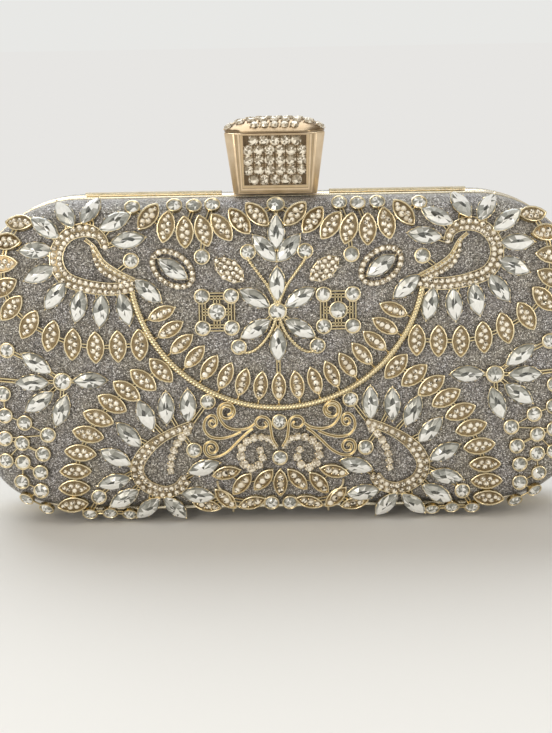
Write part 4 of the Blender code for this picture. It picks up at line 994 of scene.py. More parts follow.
def multiply(material, first, second):
    """Multiplies two colours, each given as a node and its output."""
    mix = add_node(material, "Mix", [(6, *first), (7, *second)], data_type="RGBA", blend_type="MULTIPLY")
    mix.inputs[0].default_value = 1
    return mix, 2


def into(material, socket, node, output):
    shader = material.node_tree.nodes["Principled BSDF"]
    material.node_tree.links.new(node.outputs[output], shader.inputs[socket])


def vary_roughness(material, node, output, low, high):
    rough = add_node(material, "MapRange", [("Value", node, output)], To_Min=low, To_Max=high)
    into(material, "Roughness", rough, "Result")


def add_bump(material, node, output, strength, distance):
    bump = add_node(material, "Bump", [("Height", node, output)], Strength=strength, Distance=distance)
    into(material, "Normal", bump, "Normal")


def tinted(colour, tint):
    return tuple(channel * share for channel, share in zip(colour, tint))


def shade(colour, share):
    return tinted(colour, (share, share, share))


def gold_material(name, colour, grain, roughness):
    """Polished plate with painted shade that makes it warmer and darker in the crevices, a slow drift of colour and a
    fine cast grain.
    """
    material = new_material(name, colour, roughness, 1.0)
    # The crevice attribute holds painted shade, which the ramp turns into darker, warmer gold
    hollow = add_node(material, "Attribute", attribute_name="crevice")
    depth = ramp(material, hollow, "Fac", [(place, tinted(colour, tint)) for place, tint in GOLD_CREVICE_SHADES])
    drift = texture(material, "Noise", 420, Detail=3)
    spread = ramp(material, drift, "Fac", [(0.3, (0.88, 0.85, 0.80)), (0.7, (1.0, 1.0, 1.0))])
    into(material, "Base Color", *multiply(material, (depth, "Color"), (spread, "Color")))
    fine = texture(material, "Noise", grain, Detail=4)
    vary_roughness(material, fine, "Fac", roughness * 0.7, roughness * 1.4)
    add_bump(material, fine, "Fac", 0.25, 0.00006)
    return material


def crystal_material(name, tint, shadow):
    """Foil-backed cut glass: each facet has its own painted lightness, from painted shade between facets to full tint,
    which stands in for its highlights and reflections.
    """
    material = new_material(name, tint, 0.04, 0.15, IOR=1.6, Coat_Weight=0.25, Coat_Roughness=0.02)
    tone = add_node(material, "Attribute", attribute_name="tone")
    stops = []
    for place, light in CRYSTAL_LIGHTS:
        dimmed = [1 - (1 - light) * (1 - dark) for dark in shadow]
        stops.append((place, shade(tinted(tint, dimmed), light)))
    into(material, "Base Color", ramp(material, tone, "Fac", stops), "Color")
    vary_roughness(material, texture(material, "Noise", 2600, Detail=2), "Fac", 0.02, 0.12)
    return material


def glitter_material(name, colour):
    """Glitter cloth: flakes of random lightness and lean over a darker ground, with a slow drift of colour."""
    material = new_material(name, colour, 0.35, 0.30)
    flakes = texture(material, "Voronoi", 3800)
    split = add_node(material, "SeparateColor", [("Color", flakes, "Color")])
    coarse = add_node(material, "SeparateColor", [("Color", texture(material, "Voronoi", 1250), "Color")])
    lightness = ramp(material, split, "Red", [
        (0.00, shade(colour, 0.16)), (0.30, shade(colour, 0.55)), (0.62, colour), (0.86, shade(colour, 1.6)),
        (0.95, (1.0, 1.0, 1.0)),
    ])
    patches = ramp(material, coarse, "Green", [(0.0, (0.86, 0.86, 0.87)), (1.0, (1.10, 1.10, 1.09))])
    drift = texture(material, "Noise", 90, Detail=3)
    tint = ramp(material, drift, "Fac", [(0.35, (1.00, 0.98, 0.92)), (0.65, (0.97, 0.97, 1.02))])
    patched = multiply(material, (lightness, "Color"), (patches, "Color"))
    into(material, "Base Color", *multiply(material, patched, (tint, "Color")))
    add_bump(material, flakes, "Distance", 0.9, 0.00022)
    vary_roughness(material, split, "Blue", 0.15, 0.6)
    return material


def paper_material(name, colour):
    """Smooth pale paper with the faintest drift. Far from the object, camera and mirror rays see its plain colour."""
    material = new_material(name, colour, 0.85, 0.0)
    drift = texture(material, "Noise", 8, Detail=2)
    into(material, "Base Color", ramp(material, drift, "Fac", [(0.3, shade(colour, 0.995)), (0.7, colour)]), "Color")
    add_bump(material, texture(material, "Noise", 900, Detail=2), "Fac", 0.05, 0.00003)
    place = add_node(material, "TexCoord")
    length = add_node(material, "VectorMath", [(0, place, "Object")], operation="LENGTH")
    near, away = FLOOR_FADE
    far = add_node(material, "MapRange", [("Value", length, "Value")], From_Min=near, From_Max=away)
    rays = add_node(material, "LightPath")
    seen = (rays, "Is Camera Ray")
    steps = (("ADD", rays, "Is Glossy Ray"), ("ADD", rays, "Is Transmission Ray"), ("MULTIPLY", far, "Result"))
    for operation, *other in steps:
        step = add_node(material, "Math", [(0, *seen), (1, *other)], operation=operation, use_clamp=True)
        seen = (step, 0)
    plain = add_node(material, "Emission", Color=(*colour, 1))
    tree = material.node_tree
    mix = add_node(material, "MixShader", [(0, *seen), (1, tree.nodes["Principled BSDF"], 0), (2, plain, 0)])
    tree.links.new(mix.outputs[0], tree.nodes["Material Output"].inputs["Surface"])
    return material


def satin_material(name, colour):
    """Lining satin: a fine weave with soft lighter and darker streaks along it."""
    material = new_material(name, colour, 0.45, 0.0, Sheen_Weight=0.4, Sheen_Roughness=0.4)
    streaks = texture(material, "Noise", 260, (1.0, 1.0, 0.12), Detail=4)
    stops = [(0.3, shade(colour, 0.75)), (0.7, shade(colour, 1.2))]
    into(material, "Base Color", ramp(material, streaks, "Fac", stops), "Color")
    add_bump(material, texture(material, "Wave", 900, Distortion=1.5), "Fac", 0.25, 0.00008)
    return material


def plain_material(name, colour, roughness, metallic, scale, stretch=None):
    """A plain maker's surface: grain that drifts in lightness and gloss, stretched along its brushing."""
    material = new_material(name, colour, roughness, metallic)
    grain = texture(material, "Noise", scale, stretch, Detail=5)
    stops = [(0.3, shade(colour, 0.82)), (0.7, shade(colour, 1.08))]
    into(material, "Base Color", ramp(material, grain, "Fac", stops), "Color")
    vary_roughness(material, grain, "Fac", roughness * 0.75, roughness * 1.3)
    add_bump(material, grain, "Fac", 0.3, 0.00005)
    return material


def finish_for(name):
    """The material of this name, made once."""
    found = bpy.data.materials.get(name)
    if found:
        return found
    makers = {
        "champagne_gold_plate": (gold_material, "gold", 5200, 0.20),
        "pale_gold_plate": (gold_material, "pale_gold", 5200, 0.20),
        "rose_gold_plate": (gold_material, "rose_gold", 3600, 0.30),
        "clear_crystal": (crystal_material, "crystal", (0.95, 0.97, 0.86)),
        "champagne_crystal": (crystal_material, "small_crystal", (1.0, 0.82, 0.56)),
        "glitter_cloth": (glitter_material, "fabric"),
        "lining_satin": (satin_material, "lining"),
        "moulded_board": (plain_material, "shell", 0.55, 0.0, 700),
        "bright_steel": (plain_material, "steel", 0.30, 1.0, 900, (0.1, 1, 1)),
        "pale_paper": (paper_material, "backdrop"),
    }
    make, colour, *values = makers[name]
    return make(name, getattr(bpy.context.scene.clutch_colours, colour)[:], *values)


# The case halves

def outline(inset):
    """The case's outline at this inset, as x and z."""
    points = []
    radius = CORNER_RADIUS - inset
    for corner in range(4):
        side = 1 if corner in (0, 3) else -1
        rise = 1 if corner in (0, 1) else -1
        centre_x = side * (HALF_WIDTH - CORNER_RADIUS)
        centre_z = HALF_HEIGHT + rise * (HALF_HEIGHT - CORNER_RADIUS)
        for step in range(CORNER_STEPS + 1):
            angle = math.radians(90 * (corner + step / CORNER_STEPS))
            points.append((centre_x + radius * math.cos(angle), centre_z + radius * math.sin(angle)))
    return points


def sweep(bm, profile, side, closed=False):
    """Draws a face out through rings round the case, given as inset and depth, and closes what is open."""
    rings = [[Vector((x, PARTING + side * depth, z)) for x, z in outline(inset)] for inset, depth in profile]
    face = new_face(bm, rings[0])
    for points in rings[1:] + rings[:1] * closed:
        face = extrude(bm, face, points)
    if closed:
        bmesh.ops.delete(bm, geom=[face], context="FACES_ONLY")
        bmesh.ops.remove_doubles(bm, verts=bm.verts, dist=WELD)
    else:
        close_open_edge(bm)
    bmesh.ops.recalc_face_normals(bm, faces=bm.faces)


def cup_profile(inset):
    """A layer's surface from the middle of its face to its rim, as inset and depth."""
    sunk = inset - COVER_INSET
    rows = []
    for step in range(CROWN_STEPS):
        place = CROWN_INSET + (EDGE_CENTRE_INSET - CROWN_INSET) * step / CROWN_STEPS
        rows.append((place, face_depth(place)[0] - sunk))
    radius = EDGE_RADIUS - sunk
    for step in range(EDGE_STEPS + 1):
        angle = math.radians(90 * step / EDGE_STEPS)
        rows.append((EDGE_CENTRE_INSET - radius * math.sin(angle), EDGE_CENTRE_DEPTH + radius * math.cos(angle)))
    return rows + [(inset, RIM_DEPTH)]


def rounded(rows, radius):
    """A closed profile with its corners rounded, each by its own share of the radius."""
    points = []
    for i, (inset, depth, soft) in enumerate(rows):
        here = Vector((inset, depth))
        if not soft:
            points.append(here)
            continue
        ends = []
        for other in (rows[i - 1], rows[(i + 1) % len(rows)]):
            way = Vector(other[:2]) - here
            ends.append(here + way.normalized() * min(radius * soft, way.length * 0.45))
        for step in range(ROUNDING_STEPS + 1):
            share = step / ROUNDING_STEPS
            points.append(ends[0].lerp(here, share).lerp(here.lerp(ends[1], share), share))
    return [(point.x, point.y) for point in points]


def cut_notches(piece):
    """Cuts the frame away round the two hinges."""
    for centre in (-HINGE_HALF_SPACING, HINGE_HALF_SPACING):
        bm = bmesh.new()
        place = Matrix.Translation((centre, PARTING, FRAME_WIDTH / 2)) @ Matrix.Diagonal((*NOTCH_SIZE, 1))
        bmesh.ops.create_cube(bm, size=1, matrix=place)
        cutter = new_object("notch", mesh_from("notch", bm))
        step = piece.modifiers.new("Notch", "BOOLEAN")
        step.object = cutter
        step.operation = "DIFFERENCE"
        bpy.context.view_layer.update()
        cut = bpy.data.meshes.new_from_object(piece.evaluated_get(bpy.context.evaluated_depsgraph_get()))
        piece.modifiers.clear()
        old = piece.data
        piece.data = cut
        bpy.data.meshes.remove(old)
        bpy.data.objects.remove(cutter)
    piece.data.name = piece.name


def slope_foot(bm):
    """Lifts the foot of the front half away from its frame, so that the frame's lower edge shows."""
    near, far = FOOT_SLOPE_DEPTHS
    for vert in bm.verts:
        rise = max(1 - vert.co.z / FOOT_SLOPE_HEIGHT, 0)
        out = min(max((PARTING - vert.co.y - near) / (far - near), 0), 1)
        vert.co.z += FOOT_SLOPE_RISE * rise ** 2 * out


def build_halves():
    """Each half's cover, shell and lining, and its frame, cut away at the hinges."""
    for half, side in (("back", 1), ("front", -1)):
        body = half + "_half"
        for name, inset, wall, finish, slot, node in LAYERS:
            bm = bmesh.new()
            sweep(bm, cup_profile(inset) + cup_profile(inset + wall)[::-1], side)
            if half == "front":
                slope_foot(bm)
            add_object(half + "_" + name, bm, body, [finish], half + "_" + node, SMOOTH_ANGLE)
        bm = bmesh.new()
        sweep(bm, rounded(FRAME_SECTION, FRAME_ROUND), side, closed=True)
        name = half + "_gold_frame"
        cut_notches(add_object(name, bm, body, ["pale_gold_plate"], half + "_frame", SMOOTH_ANGLE))


# The knob

def knob_plan(size, chamfer, height):
    x, y = size[0] / 2, size[1] / 2
    cut_x, cut_y = x - chamfer[0], y - chamfer[1]
    rows = [(cut_x, -y), (x, -cut_y), (x, cut_y), (cut_x, y), (-cut_x, y), (-x, cut_y), (-x, -cut_y), (-cut_x, -y)]
    return [Vector((a, KNOB_CENTRE + b, height)) for a, b in rows]


def knob_face(x, rise):
    """A place on the knob's leaning front, this far across from its middle and up from its foot."""
    up = rise / (KNOB_TOP - KNOB_BASE)
    lean = (KNOB_TOP_SIZE[1] - KNOB_BASE_SIZE[1]) / 2
    return Vector((x, KNOB_CENTRE - KNOB_BASE_SIZE[1] / 2 - lean * up, KNOB_BASE + rise))


def build_knob_body():
    """The knob's body, with mouldings round the recess in its front. Returns the way its front faces."""
    bm = bmesh.new()
    foot_face = new_face(bm, knob_plan(KNOB_BASE_SIZE, KNOB_BASE_CHAMFER, KNOB_BASE))
    extrude(bm, foot_face, knob_plan(KNOB_TOP_SIZE, KNOB_TOP_CHAMFER, KNOB_TOP))
    close_open_edge(bm)
    bmesh.ops.recalc_face_normals(bm, faces=bm.faces)
    bmesh.ops.bevel(bm, geom=bm.edges[:], offset=KNOB_BEVEL, segments=3, affect="EDGES", profile=0.5, material=-1)
    crevice = set_crevice_shade(bm, 0)
    front = min(bm.faces, key=lambda item: item.calc_center_median().y - item.calc_area())
    normal = front.normal.copy()
    outer = [vert.co.copy() for vert in front.verts]
    low, high, foot, head = KNOB_RECESS
    goals = []
    for point in outer:
        up = point.z > KNOB_BASE + (foot + head) / 2
        goals.append(knob_face(math.copysign(high if up else low, point.x), head if up else foot))
    # Each moulding gets its painted shade, and the floor of the recess is painted fully dark
    for share, depth, hollow in KNOB_MOULDINGS:
        made = bmesh.ops.inset_region(bm, faces=[front], thickness=0.00001, depth=0, use_even_offset=True)["faces"]
        for vert in front.verts:
            nearest = min(range(len(outer)), key=lambda i: (vert.co - outer[i]).length)
            vert.co = outer[nearest].lerp(goals[nearest], share) + normal * depth
        for item in made:
            item[crevice] = hollow
    front[crevice] = 1
    finish = ["rose_gold_plate"]
    add_object("knob_gold_body", bm, "knob_latch", finish, "knob_body", KNOB_SMOOTH_ANGLE)
    return normal


def build_knob_panel(shapes, normal):
    """The panel in the knob's recess: a plate with close rows of round stones."""
    casting = Casting(shapes)
    low, high, foot, head = KNOB_RECESS
    up = (knob_face(0, 1) - knob_face(0, 0)).normalized()
    for row, count in enumerate(PANEL_ROWS):
        rise = (foot + head) / 2 + (row - (len(PANEL_ROWS) - 1) / 2) * PANEL_PITCH[1]
        for k in range(count):
            point = knob_face((k - (count - 1) / 2) * PANEL_PITCH[0], rise) - normal * PANEL_STONE_SINK
            matrix = axes_matrix(point, up.cross(normal), up, normal)
            turned = matrix @ Matrix.Rotation(random_numbers.uniform(0, 0.7), 4, "Z")
            casting.round_stone(turned, PANEL_STONE_RADIUS, KNOB_STONE_FLATNESS)
            casting.four_beads(matrix, 45, PANEL_BEAD_REACH, PANEL_BEAD_LIFT, PANEL_BEAD)
    corners = ((-low, foot), (low, foot), (high, head), (-high, head))
    plate = bmesh.new()
    new_face(plate, [knob_face(x, rise) - normal * PANEL_PLATE_SINK for x, rise in corners])
    bmesh.ops.solidify(plate, geom=plate.faces[:], thickness=PANEL_PLATE_WALL)
    bmesh.ops.recalc_face_normals(plate, faces=plate.faces)
    # Painted shade: a little on the stones' beads, much on the sunk plate behind the stones
    set_crevice_shade(casting.gold, 0.1)
    set_crevice_shade(plate, 0.8)
    add_shape(casting.gold, plate)
    casting.finish(
        "knob_panel_plate", "knob_panel_stones", "knob_latch", "rose_gold_plate", "rose_gold", "knob_front_panel"
    )


def dome_point(across, along):
    """A place on the dome, across and along it from -1 to 1."""
    rise = DOME_RISE * (1 - across ** 4) * (1 - along ** 2)
    x = across * (KNOB_TOP_SIZE[0] / 2 - KNOB_TOP_CHAMFER[0] * along ** 4)
    y = along * (KNOB_TOP_SIZE[1] / 2 - KNOB_TOP_CHAMFER[1] * across ** 8)
    return Vector((x, KNOB_CENTRE + y, DOME_RIM + rise))


def build_dome(shapes):
    """The pave cap over the knob: a crowned plate with rows of round stones."""
    bm = bmesh.new()
    bmesh.ops.create_grid(bm, x_segments=28, y_segments=14, size=1)
    for vert in bm.verts:
        vert.co = dome_point(vert.co.x, vert.co.y)
    for item in bmesh.ops.extrude_face_region(bm, geom=bm.faces[:], use_keep_orig=True)["geom"]:
        if isinstance(item, bmesh.types.BMVert):
            item.co.z = DOME_FOOT
    bmesh.ops.recalc_face_normals(bm, faces=bm.faces)
    bmesh.ops.dissolve_faces(bm, faces=[item for item in bm.faces if item.normal.z < -0.9])
    casting = Casting(shapes)
    add_shape(casting.gold, bm)
    # Painted shade over the whole cap, which dims the light it reflects between the stones
    set_crevice_shade(casting.gold, 0.75)
    step = DOME_SLOPE_STEP
    for along, count, reach in DOME_ROWS:
        for k in range(count):
            across = (k - (count - 1) / 2) / ((count - 1) / 2) * reach
            side = dome_point(min(across + step, 1), along) - dome_point(max(across - step, -1), along)
            back = dome_point(across, min(along + step, 1)) - dome_point(across, max(along - step, -1))
            normal = side.cross(back).normalized()
            side.normalize()
            matrix = axes_matrix(dome_point(across, along), side, normal.cross(side), normal)
            casting.round_stone(matrix, DOME_STONE_RADIUS, KNOB_STONE_FLATNESS, DOME_PAINTED_HIGHLIGHT)
            x, y = DOME_BEAD_PLACE
            for hand in (1, -1):
                casting.bead(moved(matrix, hand * x, hand * y, 0.0002), DOME_BEAD)
    casting.finish("knob_dome_cap", "knob_dome_stones", "knob_latch", "rose_gold_plate", "rose_gold", "knob_dome")


# The castings on the front

def swag(casting):
    """The swag along the top, with the trefoil that hangs in its middle."""
    top, middle = places_of((SWAG_TOP_SHARES, TREFOIL_SHARES[0]))
    casting.rounds([top], "large")
    casting.navettes([middle])
    casting.link(top, middle)
    for side in (-1, 1):
        leaves = places_of(SWAG_LEAF_SHARES, side)
        stones = places_of(SWAG_STONE_SHARES, side)
        petal, stone = places_of((TREFOIL_SHARES[1], TREFOIL_STONE_SHARES), side)
        casting.leaves(leaves)
        casting.rounds(stones)
        casting.navettes([petal])
        casting.rounds([stone])
        casting.chain([top] + leaves + [stones[3]])
        for leaf, other in ((3, 4), (3, 0), (4, 1), (5, 2)):
            casting.link(leaves[leaf], stones[other])
        casting.link(middle, petal)


def butterfly(casting):
    """The flower in the middle, with its rope feelers and tendrils."""
    heart, upper, lower = places_of(FLOWER_MIDDLE_SHARES)
    casting.rounds([heart], "large")
    casting.navettes([upper, lower])
    casting.spokes(heart, [upper, lower])
    fan_top = at(FAN_CENTRE_SHARES[0], FAN_CENTRE_SHARES[1] - FAN_LEAF_REACH_SHARES[1])
    casting.link(lower, (fan_top[0], fan_top[1] + casting.sizes.fan_leaf_length / 3))
    for side in (-1, 1):
        petals = places_of(FLOWER_PETAL_SHARES, side)
        casting.navettes(petals)
        casting.spokes(heart, petals)
        for rows in (FEELER_SHARES, TENDRIL_SHARES):
            section = rope_section(FEELER_RADIUS, 12, 3)
            casting.lay([heart[:2]] + line_of(rows, side), section, FEELER_LIFT, ROPE_RING_SPACING)
        casting.rounds(places_of([FLOWER_TIP_SHARES], side))


def arc_places(reach, start, end, count):
    """Places on an arc round the fan's centre, from one angle in degrees to another."""
    places = []
    for step in range(count + 1):
        angle = math.radians(start + (end - start) * step / count)
        across = FAN_CENTRE_SHARES[0] + reach[0] * math.sin(angle)
        places.append(at(across, FAN_CENTRE_SHARES[1] - reach[1] * math.cos(angle)))
    return places


def rope_fan(casting):
    """The rope arc with its row of leaves pointing at the middle."""
    arc = arc_places(FAN_REACH_SHARES, -FAN_ROPE_END, FAN_ROPE_END, 40)
    casting.lay(arc, rope_section(casting.sizes.rope_radius, 16, 4), ROPE_LIFT, ROPE_RING_SPACING)
    for step in range(-FAN_LEAVES_A_SIDE, FAN_LEAVES_A_SIDE + 1):
        turn = FAN_LEAF_STEP * step
        reaches = (FAN_LEAF_REACH_SHARES, FAN_REACH_SHARES, FAN_INNER_REACH_SHARES)
        place, rim, tip = [arc_places(reach, turn, turn, 1)[0] for reach in reaches]
        casting.leaves([(*place, -turn)], "fan")
        casting.link(place, rim, 1, FAN_LINK_RADIUS, FAN_LINK_LIFT)
        casting.bead(seat_matrix(*tip, -turn, 0.0011) @ Matrix.Diagonal((0.8, 1.3, 1, 1)), FAN_TIP_BEAD)


def wing_leaf(casting, side):
    casting.wing(*places_of([WING_LEAF_SHARES], side))


def stone_cross(casting, side):
    """Five stones in a square, joined by bars in threes."""
    across, height = side * CROSS_SHARES[0], CROSS_SHARES[1]
    reach_x, reach_z = CROSS_REACH_SHARES
    middle = at(across, height)
    signs = ((1, 1), (1, -1), (-1, -1), (-1, 1))
    corners = [at(across + i * reach_x, height + j * reach_z) for i, j in signs]
    casting.rounds([middle], "large")
    casting.rounds(corners)
    for start, end in zip(corners, corners[1:] + corners[:1]):
        casting.link(start, end, 3)
        casting.link(middle, ((start[0] + end[0]) / 2, (start[1] + end[1]) / 2), 3)


def pave_eye(casting, side):
    """A pointed-oval stone in a ring of small ones."""
    place, = places_of([EYE_SHARES], side)
    lean = math.radians(place[2])
    along = Vector((math.sin(lean), math.cos(lean)))
    beside = Vector((math.cos(lean), -math.sin(lean)))
    ring = []
    for step in range(16):
        angle = math.tau * step / 16
        reach, width = EYE_RING[0] * math.cos(angle), EYE_RING[1] * math.sin(angle)
        ring.append(Vector(place[:2]) + along * reach + beside * width)
    casting.navettes([place])
    casting.pave_band(ring, EYE_WIDTHS, EYE_PITCH, closed=True)


def upper_paisley(casting, side):
    """A comma-shaped band of small stones with a fringe of pointed ovals."""
    band, inner, line = [line_of(rows, side) for rows in (UPPER_PAISLEY_SHARES, UPPER_INNER_SHARES, UPPER_LINE_SHARES)]
    casting.pave_band(band, UPPER_WIDTHS, UPPER_PITCH, edge=PAISLEY_EDGE)
    casting.pave_band(inner, UPPER_INNER_WIDTHS, UPPER_INNER_PITCH)
    # The groove along the middle of the line gets painted shade
    casting.lay(line, grooved_section(PAISLEY_LINE_WIDTH), PAISLEY_LINE_LIFT, BAND_RING_SPACING, groove=0.9)
    heart, = places_of([UPPER_STONE_SHARES], side)
    casting.rounds([heart])
    casting.link(heart, line[3])
    rays = places_of(UPPER_RAY_SHARES, side)
    casting.navettes(rays)
    casting.join(rays, band)


def lower_paisley(casting, side):
    """The smaller paisley at the foot, with a row of stones in its curl and four more along the border."""
    band = line_of(LOWER_PAISLEY_SHARES, side)
    casting.pave_band(band, LOWER_WIDTHS, LOWER_PITCH, edge=PAISLEY_EDGE)
    casting.stone_row(line_of(LOWER_INNER_SHARES, side), LOWER_INNER_WIDTHS)
    rays = places_of(LOWER_RAY_SHARES, side)
    stones = places_of(LOWER_STONE_SHARES, side)
    border = places_of(BORDER_STONE_SHARES, side)
    casting.navettes(rays)
    casting.rounds(stones + border)
    casting.join(rays + stones, band)
    casting.chain(border[1:])
    casting.spokes(border[0], [border[1], rays[5]])


def leaf_row(rows):
    """A casting of leaves in a row, each linked to the next."""
    def draw(casting, side):
        leaves = places_of(rows, side)
        casting.leaves(leaves)
        casting.chain(leaves)
    return draw


def side_flower(casting, side):
    """A flower of five pointed ovals, with a link to the case's end and one to a stone."""
    heart, edge = places_of((SIDE_HEART_SHARES, SIDE_STONE_SHARES), side)
    petals = places_of(SIDE_PETAL_SHARES, side)
    casting.rounds([heart], "large")
    casting.navettes(petals)
    casting.rounds([edge])
    casting.spokes(heart, petals)
    casting.link(petals[2], edge)
    casting.link(petals[1], at(side * SIDE_END_SHARES[0], SIDE_END_SHARES[1]), radius=END_LINK_RADIUS)


def corner_stones(casting, side):
    places = places_of(CORNER_STONE_SHARES, side)
    casting.rounds(places)
    casting.chain(places, bars=1)


def pave_horseshoe(casting, side):
    places = line_of(HORSESHOE_SHARES, side)
    casting.stone_row(places, HORSESHOE_WIDTHS)
    # The wire under the stones gets painted shade
    casting.lay(places, round_section(PLAIN_WIRE_RADIUS, 8), HORSESHOE_WIRE_LIFT, WIRE_RING_SPACING, dark=0.2)


def scrollwork(casting):
    """Thin wires that end in curls, round two stones."""
    casting.rounds(places_of(SCROLL_STONE_SHARES))
    section = grooved_section(casting.sizes.wire_width)
    for side in (-1, 1):
        for rows in SCROLL_PATH_SHARES:
            # The groove along the middle of each wire gets painted shade
            casting.lay(line_of(rows, side), section, SCROLL_LIFT, SCROLL_RING_SPACING, groove=0.9)


def foot_border(casting):
    """The fan of leaves under the scrollwork, and the leaves and wires along the foot."""
    middle, = places_of([FOOT_MIDDLE_SHARES])
    casting.leaves([middle], "foot")
    for side in (-1, 1):
        fan = places_of(FAN_FOOT_SHARES, side)
        border = places_of(FOOT_BORDER_SHARES, side)
        foot, = places_of([FOOT_ROUND_SHARES], side)
        casting.leaves(fan + border, "foot")
        casting.rounds([foot])
        wire = round_section(PLAIN_WIRE_RADIUS, 8)
        casting.lay(line_of(FOOT_WIRE_SHARES, side), wire, FOOT_WIRE_LIFT, WIRE_RING_SPACING)
        casting.chain([foot] + border)
        casting.chain([middle] + fan, bars=1)


MIDDLE_CASTINGS = {
    "top_swag": swag,
    "centre_butterfly": butterfly,
    "rope_fan": rope_fan,
    "scrollwork": scrollwork,
    "foot_border": foot_border,
}
SIDE_CASTINGS = {
    "wing_leaf": wing_leaf,
    "stone_cross": stone_cross,
    "pave_eye": pave_eye,
    "upper_paisley": upper_paisley,
    "leaf_necklace": leaf_row(NECKLACE_SHARES),
    "side_flower": side_flower,
    "leaf_band": leaf_row(BAND_SHARES),
    "lower_paisley": lower_paisley,
    "corner_stones": corner_stones,
    "pave_horseshoe": pave_horseshoe,
}


def build_casting(shapes, node, draw, *side):
    """Makes one casting. Those drawn for one side are told which."""
    casting = Casting(shapes)
    draw(casting, *side)
    casting.shade_gold()
    names = (node + "_setting", node + "_stones")
    casting.finish(*names, "front_half", "champagne_gold_plate", "champagne_gold", node)


KEPT_NODES = {
    "pale_gold_plate": ("top_rail_left", "top_rail_right"),
    "champagne_gold_plate": (
        "back_hinge_leaf_left", "back_hinge_leaf_right",
        "front_hinge_leaf_left", "front_hinge_leaf_right",
    ),
    "bright_steel": (
        "hinge_pin_left", "hinge_pin_right", "latch_bracket", "bracket_rivet_left", "bracket_rivet_right",
        "latch_pivot_pin", "latch_spring", "latch_catch", "latch_lever", "knob_screw",
    ),
}


# The stage

def aim(item, target, roll=0):
    way = Vector(target) - item.location
    turn = way.to_track_quat("-Z", "Y").to_matrix().to_4x4() @ Matrix.Rotation(math.radians(roll), 4, "Z")
    item.rotation_euler = turn.to_euler()


def add_light(name, kind, place, target, energy, colour):
    data = bpy.data.lights.new(name, kind)
    data.energy = energy
    data.color = colour
    light = new_object(name, data)
    light.location = place
    aim(light, target)
    return data


def build_stage(scene):
    bm = bmesh.new()
    bmesh.ops.create_grid(bm, x_segments=1, y_segments=1, size=FLOOR_HALF_SIZE)
    floor = new_object("floor", mesh_from("floor", bm))
    floor.data.materials.append(finish_for("pale_paper"))

    world = bpy.data.worlds.new("studio")
    scene.world = world
    world.use_nodes = True
    split = add_node(world, "SeparateXYZ", [("Vector", add_node(world, "TexCoord"), "Generated")])
    sky = ramp(world, split, "Z", SKY)
    world.node_tree.links.new(sky.outputs["Color"], world.node_tree.nodes["Background"].inputs["Color"])

    add_light("overhead", "SUN", SUN_PLACE, (0, 0, 0), SUN_ENERGY, SUN_COLOUR).angle = math.radians(SUN_SPREAD)
    for name, place, size, energy in LIGHTS:
        data = add_light(name, "AREA", place, LIGHT_TARGET, energy, LIGHT_COLOUR)
        data.shape = "RECTANGLE"
        data.size, data.size_y = size

    data = bpy.data.cameras.new("camera")
    data.lens = CAMERA_LENS
    data.sensor_width = 36
    camera = new_object("camera", data)
    rise = math.radians(CAMERA_RISE)
    camera.location = Vector(CAMERA_TARGET) + Vector((0, -math.cos(rise), math.sin(rise))) * CAMERA_DISTANCE
    aim(camera, CAMERA_TARGET, CAMERA_ROLL)
    scene.camera = camera
    scene.view_settings.view_transform = "Standard"


def length_property(name, description, default):
    return FloatProperty(name=name, description=description, default=default, unit="LENGTH")


def colour_property(name, description, default):
    return FloatVectorProperty(
        name=name, description=description, default=default, size=3, min=0, max=1, subtype="COLOR"
    )


class ClutchSizes(bpy.types.PropertyGroup):
    """Sizes of the settings and wires."""
    leaf_length: length_property("Leaf length", "Length of a leaf of small stones", 0.0106)
    leaf_width: length_property("Leaf width", "Width of a leaf of small stones", 0.0058)
    fan_leaf_length: length_property("Fan leaf length", "Length of a leaf in the fan", 0.0096)
    fan_leaf_width: length_property("Fan leaf width", "Width of a leaf in the fan", 0.0048)
    wing_leaf_length: length_property("Wing leaf length", "Length of the big leaf", 0.0122)
    wing_leaf_width: length_property("Wing leaf width", "Width of the big leaf", 0.0072)
    navette_length: length_property("Pointed oval length", "Length of a pointed oval stone", 0.0116)
    navette_width: length_property("Pointed oval width", "Width of a pointed oval stone", 0.0058)
    round_size: length_property("Round stone", "Size of a round stone with its collar", 0.0051)
    large_round_size: length_property("Large round stone", "Size of a flower's round stone", 0.0059)
    rope_radius: length_property("Rope radius", "Radius of the rope arc", 0.0011)
    wire_width: length_property("Scroll wire width", "Width of the scroll wires", 0.00100)


class ClutchColours(bpy.types.PropertyGroup):
    """Colours of the finishes."""
    gold: colour_property("Gold", "Plate of the castings and hinges", (0.95, 0.83, 0.57))
    pale_gold: colour_property("Pale gold", "Plate of the frames and rails", (0.97, 0.89, 0.70))
    rose_gold: colour_property("Rose gold", "Plate of the knob", (0.84, 0.67, 0.46))
    crystal: colour_property("Crystal", "The larger stones", (0.96, 0.96, 0.94))
    small_crystal: colour_property("Small crystal", "The small stones in the leaves and the knob", (1.0, 0.94, 0.81))
    fabric: colour_property("Fabric", "Glitter cloth on the halves", (0.32, 0.305, 0.285))
    lining: colour_property("Lining", "Satin inside the halves", (0.30, 0.29, 0.31))
    shell: colour_property("Shell", "Moulded shells under the cloth", (0.30, 0.30, 0.31))
    steel: colour_property("Steel", "Pins and latch parts", (0.50, 0.50, 0.51))
    backdrop: colour_property("Backdrop", "The floor, which is the backdrop too", (0.80, 0.79, 0.77))


class CLUTCH_OT_halves(bpy.types.Operator):
    """Build the fabric covers, shells, linings and gold frames of both halves"""
    bl_idname = "clutch.halves"
    bl_label = "Case halves"

    def execute(self, context):
        build_halves()
        return {"FINISHED"}


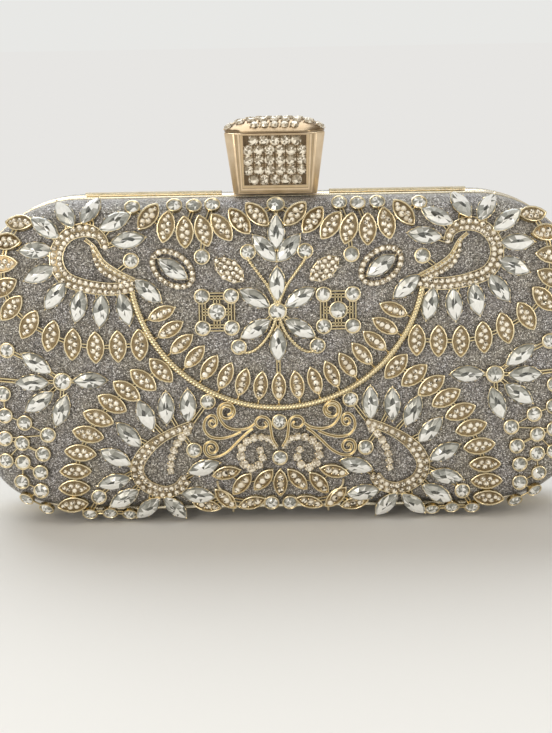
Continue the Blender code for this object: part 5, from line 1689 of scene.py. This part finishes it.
class CLUTCH_OT_knob(bpy.types.Operator):
    """Build the stone-set knob"""
    bl_idname = "clutch.knob"
    bl_label = "Knob"

    def execute(self, context):
        shapes = make_templates(context.scene.clutch_sizes)
        build_knob_panel(shapes, build_knob_body())
        build_dome(shapes)
        return {"FINISHED"}


class CLUTCH_OT_castings(bpy.types.Operator):
    """Build the stone-set castings on the front"""
    bl_idname = "clutch.castings"
    bl_label = "Castings"

    def execute(self, context):
        shapes = make_templates(context.scene.clutch_sizes)
        for node, draw in MIDDLE_CASTINGS.items():
            build_casting(shapes, node, draw)
        for word, side in (("left", -1), ("right", 1)):
            for node, draw in SIDE_CASTINGS.items():
                build_casting(shapes, node + "_" + word, draw, side)
        return {"FINISHED"}


class CLUTCH_OT_finishes(bpy.types.Operator):
    """Give the CAD solids that stay in view their finishes"""
    bl_idname = "clutch.finishes"
    bl_label = "Finishes of kept solids"

    def execute(self, context):
        for name, nodes in KEPT_NODES.items():
            for node in nodes:
                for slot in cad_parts[node].material_slots:
                    slot.material = finish_for(name)
        return {"FINISHED"}


class CLUTCH_OT_stage(bpy.types.Operator):
    """Build the floor, the world, the lights and the camera"""
    bl_idname = "clutch.stage"
    bl_label = "Stage"

    def execute(self, context):
        build_stage(context.scene)
        return {"FINISHED"}


class CLUTCH_PT_panel(bpy.types.Panel):
    """Sizes, colours and building steps of the clutch"""
    bl_idname = "CLUTCH_PT_panel"
    bl_label = "Evening clutch"
    bl_space_type = "VIEW_3D"
    bl_region_type = "UI"
    bl_category = "Clutch"

    def draw(self, context):
        for group in (context.scene.clutch_sizes, context.scene.clutch_colours):
            box = self.layout.box()
            for name in group.__annotations__:
                box.prop(group, name)
        for operator in OPERATORS:
            self.layout.operator(operator.bl_idname)


OPERATORS = (CLUTCH_OT_halves, CLUTCH_OT_knob, CLUTCH_OT_castings, CLUTCH_OT_finishes, CLUTCH_OT_stage)
CLASSES = (ClutchSizes, ClutchColours, *OPERATORS, CLUTCH_PT_panel)


def register():
    for item in CLASSES:
        bpy.utils.register_class(item)
    bpy.types.Scene.clutch_sizes = PointerProperty(type=ClutchSizes)
    bpy.types.Scene.clutch_colours = PointerProperty(type=ClutchColours)


def unregister():
    del bpy.types.Scene.clutch_colours
    del bpy.types.Scene.clutch_sizes
    for item in reversed(CLASSES):
        bpy.utils.unregister_class(item)


def main():
    register()
    build = bpy.ops.clutch
    for step in (build.stage, build.halves, build.knob, build.castings, build.finishes):
        if step() != {"FINISHED"}:
            raise RuntimeError("A building step did not finish")


if __name__ == "__main__":
    main()
